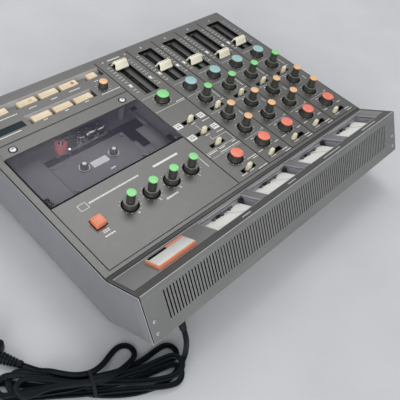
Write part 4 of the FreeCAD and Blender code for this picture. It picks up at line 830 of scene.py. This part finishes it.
trays, plates, needles, sheets = (bmesh.new() for _ in range(4))
for i, x in enumerate(METERS):
    across, along = (x - TRAY_HALF, x + TRAY_HALF), (TRAY_LOW, TRAY_HIGH)
    block(trays, across, along, (TRAY_UNDER, TRAY_FLOOR), 0.2)
    for side in (-1, 1):
        block(trays, sorted((x + side * 35, x + side * TRAY_HALF)), along, (TRAY_UNDER, TRAY_TOP), 0.2)
        block(trays, sorted((x + side * 34.0, x + side * 34.8)), (5.5, 37.3), (-2.4, -0.12), 0.1)
    for low in (TRAY_LOW, 37.4):
        block(trays, across, (low, low + 1.5), (TRAY_UNDER, TRAY_TOP), 0.2)
    for low in (5.5, 36.6):
        block(trays, (x - 34, x + 34), (low, low + 0.7), (-2.4, -0.12), 0.1)
    block(trays, (x - 18, x + 15), (5.6, 7.4), (TRAY_FLOOR, -6.2), 0.5, 2)
    block(trays, (x + 3, x + 9), (5.6, 8.8), (TRAY_FLOOR, -5.4), 0.8, 1)
    for spot, radius in ((-12, 1.6), (0, 2.4), (12.5, 1.5)):
        turned(trays, [(0, TRAY_FLOOR), (radius, TRAY_FLOOR), (radius, -5.7), (radius - 0.5, -5.2), (0, -5.2)],
               x + spot, 8.0, 20, 2)
    # A black block at the foot of the scale, in every meter but the first, is painted shade.
    if i:
        block(trays, (x - 34, x - 28.4), (5.6, 9.4), (TRAY_FLOOR, -4.0), 0.4, 1)
    block(plates, (x - 28.4, x + 34.6), (5.6, 37.2), (-12.1, PLATE), 0.3)
    for step in range(ARC_STROKES):
        low, high = (SCALE_END + (SCALE_START - SCALE_END) * one / ARC_STROKES for one in (step, step + 1))
        stroke(plates, round_foot(x, low, SCALE_RADIUS), round_foot(x, high, SCALE_RADIUS), 0.3, PLATE + 0.05, 1)
    for step in range(11):
        angle = SCALE_START - SCALE_STEP * step
        outer = 28.8 if step % 5 else 30
        stroke(plates, round_foot(x, angle, SCALE_RADIUS), round_foot(x, angle, outer), 0.4, PLATE + 0.06, 1)
    foot = Matrix.Translation((x, NEEDLE_FOOT, 0)) @ Matrix.Rotation(math.radians(NEEDLE_LEANS[i]), 4, "Z")
    for start, end, wide in ((8, 29, 0.3), (7, 11, 0.9)):
        before = set(needles.verts)
        block(needles, (start, end), (-wide / 2, wide / 2), (PLATE + 1.0, PLATE + 1.3))
        place_new(needles, before, foot)
    block(sheets, across, along, (TRAY_TOP, -2.5), 0.2)
new_piece("meter_trays", trays, "case", "meter_plastic", [meter_grey, black_parts_and_painted_shade, coil_green], BRIDGE,
          instead=("level_meters",))
new_piece("meter_scales", plates, "case", "meter_plastic", [meter_cream, grey_ink], BRIDGE)
new_piece("meter_needles", needles, "case", "dark_plastic", [grey_ink], BRIDGE)
new_piece("meter_covers", sheets, "case", "meter_plastic", [clear], BRIDGE)
print("meters", len(METERS))

# %% [markdown]
# The meters look out of a sheet metal plate on the slope, between a dark band along its foot and one below the
# ridge, where small white marks name the meters. A pale line just above the foot's band and a bright line along
# the ridge are painted highlights. Beside the meters sits a raised plate; on the real machine it carries the
# maker's sign, and here it stays bare: an orange block with a brushed silver face, an orange band and a dark
# one.

# %% Badge plate and bridge bands
bm = bmesh.new()
block(bm, (135.7, 184.6), (12.9, 35), (0, 4.6), 0.6)
block(bm, (136.5, 183.8), (13.7, 34.2), (4.4, 5.15), 0.25, 1)
mark(bm, (159.5, 183.1), (14.3, 18.6), 5.18, 2)
mark(bm, (136.9, 159.5), (14.1, 18.3), 5.18, 0)
new_piece("badge_plate_dressed", bm, "case", "orange_cap", [button_orange, silver, black_ink], BRIDGE,
          instead=("badge_plate",))
SHEET_END = 218
CASE_END = 221.2
bm = bmesh.new()
edges = [-SHEET_END] + [x + side * 34.9 for x in METERS for side in (-1, 1)] + [SHEET_END]
for left, right_end in zip(edges[::2], edges[1::2]):
    block(bm, (left, right_end), (5.5, 37.3), (0, 0.3), 0.1)
block(bm, (-SHEET_END, SHEET_END), (4.4, 5.5), (0, 0.3), 0.1)
new_piece("meter_surround", bm, "case", "panel_paint", [surround_grey], BRIDGE)
bm = bmesh.new()
mark(bm, (-SHEET_END, SHEET_END), (0.3, 2.4), 0.03, 1)
# Painted highlights: a pale line above the foot's band, and one along the ridge.
mark(bm, (-SHEET_END, SHEET_END), (3.2, 4.1), 0.03, 2)
mark(bm, (-221, 221), (48.7, 49.9), 0.05, 2)
for first, last in ((-186, -155), (-105, -70), (-15, -1), (64, 77)):
    words(bm, first, last, 43, 1.5)
new_piece("bridge_prints_and_highlights", bm, "case", "case_plastic", [white_ink, dark_bands_and_painted_shade, painted_highlight_pale], BRIDGE)
bm = bmesh.new()
block(bm, (-CASE_END, CASE_END), (278.45, 281.9), (-1.48, -0.75), 0.1)
new_piece("step_strip", bm, "case", "dark_plastic", [dark_bands_and_painted_shade])
print("sheets between the meters", len(edges) // 2)

# %% [markdown]
# The rear cover has a long row of upright slots. Most are blind grooves, and those near the deck are open. A
# black strip of painted shade lies in each. In a blind groove it is narrower, and a dark grey strip beside it is
# the painted shade of the wall that still catches some light. One more strip paints the edge of the ridge, over
# the cover, in the cover's own grey.

# %% Rear grille
SLOTS, BLIND_SLOTS = 98, 80
SLOT_PITCH = 4.05
SLOT_HALF = 0.97
SLOT_LONG = (3.3, 36.6)
SLOT_DEEP = -0.35
bm = bmesh.new()
# Painted shade in every slot: a black strip, and a dark grey one on the lit wall of a blind groove.
for i in range(SLOTS):
    x = SLOT_PITCH * i - 196.425
    dark_to = x + (0.35 if i < BLIND_SLOTS else SLOT_HALF)
    mark(bm, (x - SLOT_HALF, dark_to), SLOT_LONG, SLOT_DEEP)
    if i < BLIND_SLOTS:
        mark(bm, (dark_to, x + SLOT_HALF), SLOT_LONG, SLOT_DEEP, 1)
mark(bm, (-CASE_END, CASE_END), (-5.2, -0.1), INK, 2)
new_piece("grille_painted_shade_and_ridge_paint", bm, "case", "cover_paint", [black_parts_and_painted_shade, dark_bands_and_painted_shade, cover_grey], REAR)
print("grille slots", SLOTS)

# %% [markdown]
# Under the smoky door lie a raised liner, the cassette rest, two splined spindles, the capstan with its red
# pinch roller and the head carriage. The capstan's bracket stands behind it, so the carriage can slide up to
# the shaft. What turns or slides is a piece of its own and rides on its own body, so it moves with the model.
# The spindles and the roller are turned shapes; the splines are small blocks set round the shaft.

# %% Spindles and pinch roller
SPLINES = 6
for name, (x, y) in SPINDLES.items():
    bm = bmesh.new()
    turned(bm, [(0, -29.9), (1.5, -29.9), (1.5, -17.7), (6.8, -17.7), (6.8, -16.9), (6.4, -16.6), (3.6, -16.6),
                (3.3, -16.2), (3.3, -11), (2.6, -9.9)], x, y, 32)
    turned(bm, [(2.6, -9.9), (2.0, -9.2), (0, -9.0)], x, y, 24, 1)
    turned(bm, [(6.5, -16.65), (6.5, -16.4), (5.7, -16.4), (5.7, -16.65)], x, y, 32, 1)
    for i in range(SPLINES):
        before = set(bm.verts)
        block(bm, (3.0, 5.2), (-0.6, 0.6), (-16.6, -11.6), 0.25)
        place_new(bm, before, Matrix.Translation((x, y, 0)) @ Matrix.Rotation(i * math.tau / SPLINES, 4, "Z"))
    dressed(bm, name, "dark_plastic", [knob_black, silver])
bm = bmesh.new()
turned(bm, [(1.55, -25.9), (7.2, -25.9), (7.5, -25.5), (7.5, -15.3), (7.2, -14.9), (3.4, -14.9)],
       *ROLLER_SPOT, 40)
turned(bm, [(3.4, -14.9), (3.2, -14.5), (1.55, -14.5), (1.55, -25.9)], *ROLLER_SPOT, 40, 1)
dressed(bm, "pinch_roller", "soft_rubber", [roller_red, chrome])
print("spindles", len(SPINDLES), "and the pinch roller")

# %% [markdown]
# The head carriage is a plate with two heads, a guide and a few posts standing on it. It slides towards the
# cassette, so it is one piece on a body of its own, and the pinch roller turns on its longest post.

# %% Head carriage
bm = bmesh.new()
block(bm, (74, 150), (84, 101.4), (-28.2, -26.2), 0.4)
block(bm, (79, 117), (85.6, 93), (-26.6, -15), 0.8, 1)
block(bm, (80.5, 90), (92, 101.2), (-25, -13.2), 1.6, 2, 3)
block(bm, (94, 107), (92, 101.2), (-25, -12.2), 2.2, 2, 4)
block(bm, (109.5, 115.5), (92, 100.6), (-25, -14.2), 1.2, 2, 3)
POSTS = [(79.5, 97.5, 1.6, -13), (92, 97.8, 1.2, -14), (117, 97.5, 1.6, -13), (84, 88.5, 2.0, -14.2),
         (100, 88.5, 2.0, -14.2), (112, 88.5, 2.0, -14.2), (*ROLLER_SPOT, 1.5, -10.2)]
for x, y, radius, top in POSTS:
    turned(bm, [(0, -26.6), (radius, -26.6), (radius, top - 0.3), (radius * 0.8, top), (0, top)], x, y, 20, 2)
dressed(bm, "head_carriage", "zinc_steel", [zinc, black_parts_and_painted_shade, chrome])
print("posts", len(POSTS))

# %% [markdown]
# A thin liner covers the deck's floor: raised plates round the cassette rest, a pale label between the
# spindles, four short pegs that the cassette lies on, and the capstan's bracket. The door carries three small
# black fittings of its hinge and latch, which swing up with it.

# %% Deck liner and door fittings
LINER_TOP = -17.9
LABEL_HIGH = -17.85
bm = bmesh.new()
block(bm, (26.5, 210.5), (97.5, 168), (-28.48, -28.3), 0, 1)
for x, y in (((27.5, 49), (122.5, 167.5)), ((27.5, 34), (98, 122.3)), ((61, 66.3), (138, 167.5)),
             ((49, 61), (152, 167.5)), ((172.5, 209.5), (98, 167.5))):
    block(bm, x, y, (-19, LINER_TOP), 0.35)
block(bm, (66.5, 171.5), (116.4, 167.6), (-18.4, LINER_TOP), 0.35)
mark(bm, (107.6, 130.3), (136, 145.7), LABEL_HIGH, 2)
mark(bm, (109, 116), (156.5, 158.6), LABEL_HIGH, 2)
block(bm, (137.2, 143.8), (113.6, 116.3), (-28.3, -20.5), 0.6, 3)
for x in (70.5, 167.5):
    for y in (121, 163):
        turned(bm, [(0, -18), (2.4, -18), (2.4, -16.2), (1.9, -15.6), (0, -15.6)], x, y, 20, 0)
new_piece("deck_liner", bm, "case", "deck_plastic", [deck_grey, black_parts_and_painted_shade, label_pale, chrome])
bm = bmesh.new()
for x, y in (((31, 37.5), (163.5, 175)), ((204.6, 210.3), (162.5, 174.5)), ((33, 41.5), (99.5, 106.5))):
    block(bm, x, y, (-4.6, -3.0), 0.5)
    turned(bm, [(0, -4.6), (1.2, -4.6), (1.2, -5.1), (0, -5.2)], sum(x) / 2, sum(y) / 2, 16, 1)
new_piece("door_fittings", bm, "cassette_door", "dark_plastic", [black_parts_and_painted_shade, chrome])
print("deck dressed")

# %% [markdown]
# The screws that show are chromed cross heads: two hold the strip before the door and four the rear cover. The
# cross is a flat black mark, painted shade where a real head has its recess, with a lighter rim of its own head
# around it.

# %% Screws
def screw(bm, x, y, radius):
    """A domed cross head on its shaft."""
    turned(bm, [(0, -7.9), (1.5, -7.9), (1.5, 0), (radius, 0), (radius, 0.45), (radius * 0.86, 0.9),
                (radius * 0.6, 1.15), (0, 1.2)], x, y, 32)
    # The cross is a flat black mark: painted shade where a real head has its recess.
    for wide, long in ((radius * 0.2, radius), (radius, radius * 0.2)):
        mark(bm, (x - wide / 2, x + wide / 2), (y - long / 2, y + long / 2), 1.23, 1)


bm = bmesh.new()
for x, y in STRIP_SCREWS:
    screw(bm, x, y, 3.75)
before = set(bm.verts)
for x in (-215, 215):
    for y in (27, 41):
        screw(bm, x, y, 2.0)
made = place_new(bm, before, PANEL.inverted() @ REAR)
for face in {face for vert in made for face in vert.link_faces if face.material_index == 0}:
    face.material_index = 2
new_piece("cross_head_screws", bm, "case", "chrome_steel", [screw_steel, black_parts_and_painted_shade, dull_steel],
          instead=("case_screws",))
print("screws", len(STRIP_SCREWS) + 4)

# %% [markdown]
# Black lines part the strips and frame the deck and its door. A black ring round each of the two screws beside
# the door and round every knob's hole is a painted shadow. A ring of white dots stands round every knob, and the
# case's flat border is painted like the panel. All of this is printing and paint, so it lies just over the
# panel's face.

# %% Panel lines and dots
bm = bmesh.new()
for x in (-170.2, -123.5, -76.8, -30.6, 24.2):
    mark(bm, (x - 0.65, x + 0.65), (6.6, 273.4), 0.03, 1)
for x, y in (((-216, 213.2), (273.5, 274.2)), ((25.5, 208), (74.4, 75.4)), ((24.9, 213.4), (178.3, 180.3)),
             ((25.7, 211.3), (94.0, 94.95)), ((211.8, 213.4), (95, 178.2)), ((212.6, 213.4), (180.4, 273.4))):
    mark(bm, x, y, 0.035, 1)
# Black rings round the strip screws and the knob holes are painted shadow.
PAINTED_SHADOW_RINGS = [(*spot, 3.7, 1.5) for spot in STRIP_SCREWS] + [(*spot, 9.4, 0.9) for spot in KNOB_SPOTS]
for x, y, hole, wide in PAINTED_SHADOW_RINGS:
    turned(bm, [(hole, 0.02), (hole + wide, 0.02), (hole + wide, 0.05), (hole, 0.05), (hole, 0.02)], x, y, 32, 1)
for x, y in KNOB_SPOTS + [PITCH_SPOT]:
    ring = 9.2 if (x, y) == PITCH_SPOT else 11.9
    for i in range(11):
        angle = math.radians(240 - 30 * i)
        dot(bm, x + ring * math.cos(angle), y + ring * math.sin(angle), 0.5)
x, y = POWER_SPOT
for side in (-1, 1):
    mark(bm, sorted((x + 6.5 * side, x + 7.3 * side)), (215.0, 229.6), 0.03, 1)
    mark(bm, (179, 192), sorted((y + 6.5 * side, y + 7.3 * side)), 0.03, 1)
new_piece("panel_lines", bm, "case", "panel_paint", [white_ink, black_ink])
bm = bmesh.new()
for x, y in (((213.8, 221.4), (0.2, 278.3)), ((-221.4, -216.4), (0.2, 278.3)), ((-216.4, 213.8), (0.2, 5.9)),
             ((-216.4, 213.8), (274.9, 278.3))):
    mark(bm, x, y, 0.02)
new_piece("border_paint", bm, "case", "case_plastic", [panel_grey])
print("rings", len(PAINTED_SHADOW_RINGS), "dots", 11 * (len(KNOB_SPOTS) + 1))

# %% [markdown]
# Each fader has a scale of numbers and short bars, with a white box at the level of normal use, and each
# channel has its number at the front.

# %% Fader scales
SCALE_TOP, SCALE_PITCH = 84.6, 5.92
bm = bmesh.new()
for x in STRIPS:
    for step in range(11):
        y = SCALE_TOP - SCALE_PITCH * step
        digit(bm, str(10 - step), x - 20.2, y, 2.6)
        for first in (-18.0, 15.2, 17.7):
            mark(bm, (x + first, x + first + 1.7), (y - 0.5, y + 0.5))
    for middle in (-17.2, 16.7):
        mark(bm, (x + middle - 1.9, x + middle + 1.9), (67.3, 71.7), 0.05)
for i, x in enumerate(CHANNELS):
    digit(bm, str(i + 1), x, 11.4, 5.2)
words(bm, MASTER - 10.9, MASTER + 9.6, 11.7, 2.3)
for x in (13.7, -24):
    dot(bm, x, 11.7, 1.1)
new_piece("fader_scales", bm, "case", "panel_paint", [white_ink])
print("fader scales", len(STRIPS))

# %% [markdown]
# Where the machine names its controls, rows of dashes stand for the small print. The master strip also has a
# bracket and four white boxes with the plain sign of two reels.

# %% Mixer labels
CHANNEL_WORDS = [(-21, -10, 272.4), (-19, -9, 268.4), (4, 13, 268.4), (-19, -12, 253), (11, 19, 253),
                 (5, 11, 232), (-20, -16, 226), (5, 8, 202.4), (5, 8, 173), (-20, -14, 156)]
MASTER_WORDS = [(-29, -13, 272), (-8, -1, 268), (4, 13, 268), (-29, -20, 256), (-29, -13, 253), (-29, 5, 225.6),
                (-27, -20, 220.6), (-8, 2, 220.6), (6, 20, 220.6), (-29, -17, 197.6), (-7, 0, 194.4),
                (-29, -16, 172.6), (-7, 0, 169.4), (-29, -14, 126)]
BRACKET = [((-27.6, 218.4), (21.6, 218.4)), ((-27.6, 218.4), (-27.6, 203.6)), ((-27.6, 203.6), (-3.6, 203.6)),
           ((-3.6, 203.6), (-3.6, 198)), ((-3.6, 192), (-3.6, 173)), ((21.6, 225), (21.6, 218.4)),
           ((-27.6, 128.6), (22, 128.6))]
REEL_BOXES = [(-28, 183.4, 9.6, 9.2), (11, 183.4, 10.6, 9.2), (-28, 158.6, 9.6, 9), (11, 158.6, 10.6, 9)]
bm = bmesh.new()
for x in CHANNELS:
    for first, last, y in CHANNEL_WORDS:
        words(bm, x + first, x + last, y)
    for low, high in ((186, 194), (136, 152)):
        for i in range(int((high - low) / 2)):
            mark(bm, (x - 18.6, x - 17.4), (low + 2 * i, low + 2 * i + 1.4))
for first, last, y in MASTER_WORDS:
    words(bm, first, last, y)
for start, end in BRACKET:
    stroke(bm, start, end, 0.5)
for x, y, wide, deep in REEL_BOXES:
    mark(bm, (x, x + wide), (y, y + deep), 0.05)
    for spot in (x + wide * 0.32, x + wide * 0.68):
        dot(bm, spot, y + 5.4, 1.3, 0.07, 1, 14)
        dot(bm, spot, y + 5.4, 0.6, 0.09, 0, 10)
    mark(bm, (x + 1.6, x + wide - 1.6), (y + 1.8, y + 2.5), 0.07, 1)
CROSS_LINES = [(x + first, x + 20, y) for x in CHANNELS
               for first, y in ((-19, 228.2), (-1, 169.6), (-5, 128), (-19, 99.9))]
CROSS_LINES += [(-29, 22, 228.2), (-22, 22, 99.9)]
LINE_PITCH = 2.2
for first, last, y in CROSS_LINES:
    for i in range(int((last - first) / LINE_PITCH)):
        mark(bm, (first + LINE_PITCH * i, first + LINE_PITCH * i + 1.2), (y - 0.35, y + 0.35))
new_piece("mixer_labels", bm, "case", "panel_paint", [white_ink, black_ink])
print("cross lines", len(CROSS_LINES), "reel boxes", len(REEL_BOXES))

# %% [markdown]
# The deck side has four numbered cue knobs, dashes behind every key, a plain bar where the real machine bears
# its name and an outlined box beside it.

# %% Deck labels
bm = bmesh.new()
words(bm, 90.4, 107.6, 240.9, 2.4)
for i, x in enumerate(CUES):
    digit(bm, str(i + 1), x - 1.2, 236.9, 4.4)
for i in range(9):
    mark(bm, (33.3, 34.5), (215.4 + 2.1 * i, 216.9 + 2.1 * i))
mark(bm, (49.7, 87.6), (194.4, 197.4))
words(bm, 110, 177.9, 195.9, 2.2)
left, right_end, low, high = 180, 190, 192.3, 200.7
for start, end in (((left, low), (right_end, low)), ((left, high), (right_end, high)),
                   ((left, low), (left, high)), ((right_end, low), (right_end, high))):
    stroke(bm, start, end, 0.6)
words(bm, 178.6, 191, 240.7, 1.8)
words(bm, 181.4, 189.3, 236)
words(bm, 181.4, 189.3, 233.8)
KEY_WORDS = [(27, 55.7, 63.6), (76, 82, 63.6), (106, 112, 63.6), (136, 142, 63.6), (171.4, 198, 63.9),
             (42, 48, 37.4), (70.7, 86.4, 37.4), (104, 113.6, 37.4), (133.6, 144.3, 37.4), (160, 183.6, 37.4)]
for first, last, y in KEY_WORDS:
    words(bm, first, last, y, 1.5)
new_piece("deck_labels", bm, "case", "panel_paint", [white_ink])
print("rows of words by the keys", len(KEY_WORDS))

# %% [markdown]
# The fader troughs have a grey floor and a black dust strip on each side of the slot, which keeps light out of
# the case. Painted shade lines them too: their walls are black and the floor left of the slot is darker. A black
# strip also runs along the right of the slot. The sockets below the rear carry coloured rings inside, one row
# white and one row red.

# %% Trough liners and socket rings
TROUGH_HALF = 12.3
TROUGH_LONG = (18.7, 93.3)
TROUGH_UNDER = -4.58
WALL_TOP = -0.05
bm = bmesh.new()
for x in STRIPS:
    # The darker floor left of the slot and the black walls are painted shade.
    block(bm, (x - TROUGH_HALF, x - 2.9), TROUGH_LONG, (TROUGH_UNDER, -4.35), 0.05, 2)
    block(bm, (x + 5, x + TROUGH_HALF), TROUGH_LONG, (TROUGH_UNDER, -4.35), 0.05)
    block(bm, (x + 2.9, x + 4.9), TROUGH_LONG, (TROUGH_UNDER, -4.3), 0.05, 1)
    for side in (-1, 1):
        wall = sorted((x + TROUGH_HALF * side, x + 12.58 * side))
        block(bm, wall, (18.45, 93.55), (TROUGH_UNDER, WALL_TOP), 0, 1)
        block(bm, sorted((x + 1.0 * side, x + 2.8 * side)), (21.5, 91), (-5.6, -5.2), 0, 1)
    for low in (18.42, 93.3):
        block(bm, (x - TROUGH_HALF, x + TROUGH_HALF), (low, low + 0.28), (TROUGH_UNDER, WALL_TOP), 0, 1)
new_piece("trough_liners_and_painted_shade", bm, "case", "dark_plastic", [trough_grey, black_parts_and_painted_shade, dark_bands_and_painted_shade])
bm = bmesh.new()
for row in range(2):
    for i in range(8):
        turned(bm, [(1.75, 8.4), (3.2, 8.4), (3.2, 9.15), (1.75, 9.15), (1.75, 8.4)], 22 * i - 150,
               24 + 24 * row, 20, row)
new_piece("socket_rings", bm, "case", "ivory_plastic", [pale_ivory, red_plastic], UNDER)
print("troughs", len(STRIPS), "sockets", 2 * 8)

# %% [markdown]
# The nodes that stay as the CAD model made them get a finish each: the case, panel and covers, the door, and
# the inside that shows through the open slots and when the door is up.

# %% Finishes of the kept nodes
transformer_steel = finish("transformer_steel", (0.20, 0.19, 0.18), 0.5, Metallic=0.7)
KEPT = {
    case_grey: ["case_frame"],
    cheek_grey: ["right_side_panel", "left_side_panel"],
    cover_grey: ["rear_cover", "bottom_cover"],
    panel_grey: ["control_panel", "head_cover"],
    black_rubber: ["cord_gland", "rubber_feet", "drive_belt"],
    window_teal: ["tape_counter"],
    deck_grey: ["deck_chassis"],
    smoky: ["cassette_door"],
    zinc: ["line_sockets", "capstan_motor", "control_pots"],
    chrome: ["capstan_flywheel"],
    board_green: ["main_board"],
    transformer_steel: ["power_transformer"],
}
for one, names in KEPT.items():
    for name in names:
        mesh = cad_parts[name].data
        mesh.materials.clear()
        mesh.materials.append(one)
print("kept nodes", sum(len(names) for names in KEPT.values()))

# %% [markdown]
# The machine stands on a plain pale floor. A grey world lights it evenly. One big soft lamp, the window, stands
# beyond the user's front left corner, so that the satin panel shines towards the camera near the deck and fades
# towards the mixer. A weak lamp beyond the rear right corner lifts the near side; its light is held in a narrow
# fan, so that it leaves no bright spot on the floor.

# %% Floor and light
bm = bmesh.new()
bmesh.ops.create_grid(bm, x_segments=8, y_segments=8, size=4)
mesh = bpy.data.meshes.new("floor")
bm.to_mesh(mesh)
bm.free()
floor = bpy.data.objects.new("floor", mesh)
bpy.context.scene.collection.objects.link(floor)
mesh.materials.append(finish("floor_grey", (0.59, 0.60, 0.62), 0.7, cloud=0.05, cloud_scale=8, grain=60))
world = bpy.data.worlds.new("studio")
world.use_nodes = True
sky = world.node_tree.nodes["Background"].inputs
sky["Color"].default_value = (0.97, 0.98, 1.0, 1)
sky["Strength"].default_value = 0.56
bpy.context.scene.world = world


def soft_lamp(name, place, aim, edge, wide, deep, watts, fan):
    """A soft lamp that looks at a spot, its wide side along a level edge and its light held in a fan."""
    lamp = bpy.data.lights.new(name, "AREA")
    lamp.shape = "RECTANGLE"
    lamp.size = wide
    lamp.size_y = deep
    lamp.energy = watts
    lamp.spread = math.radians(fan)
    holder = bpy.data.objects.new(name, lamp)
    bpy.context.scene.collection.objects.link(holder)
    along = Vector(edge).normalized()
    away = Vector(place) - Vector(aim)
    away = (away - away.dot(along) * along).normalized()
    facing = Matrix((along, away.cross(along), away)).transposed().to_4x4()
    holder.matrix_world = Matrix.Translation(place) @ facing


soft_lamp("window", (-1.246, -1.560, 2.851), (0.05, 0, 0), (0.588, -0.809, 0), 2.1, 1.24, 40, 180)
soft_lamp("near_side", (1.25, 1.0, 0.45), (0, 0, 0.03), (-1.0, 1.25, 0), 1.3, 1.3, 4.6, 60)
print("lamps", len(bpy.data.lights))
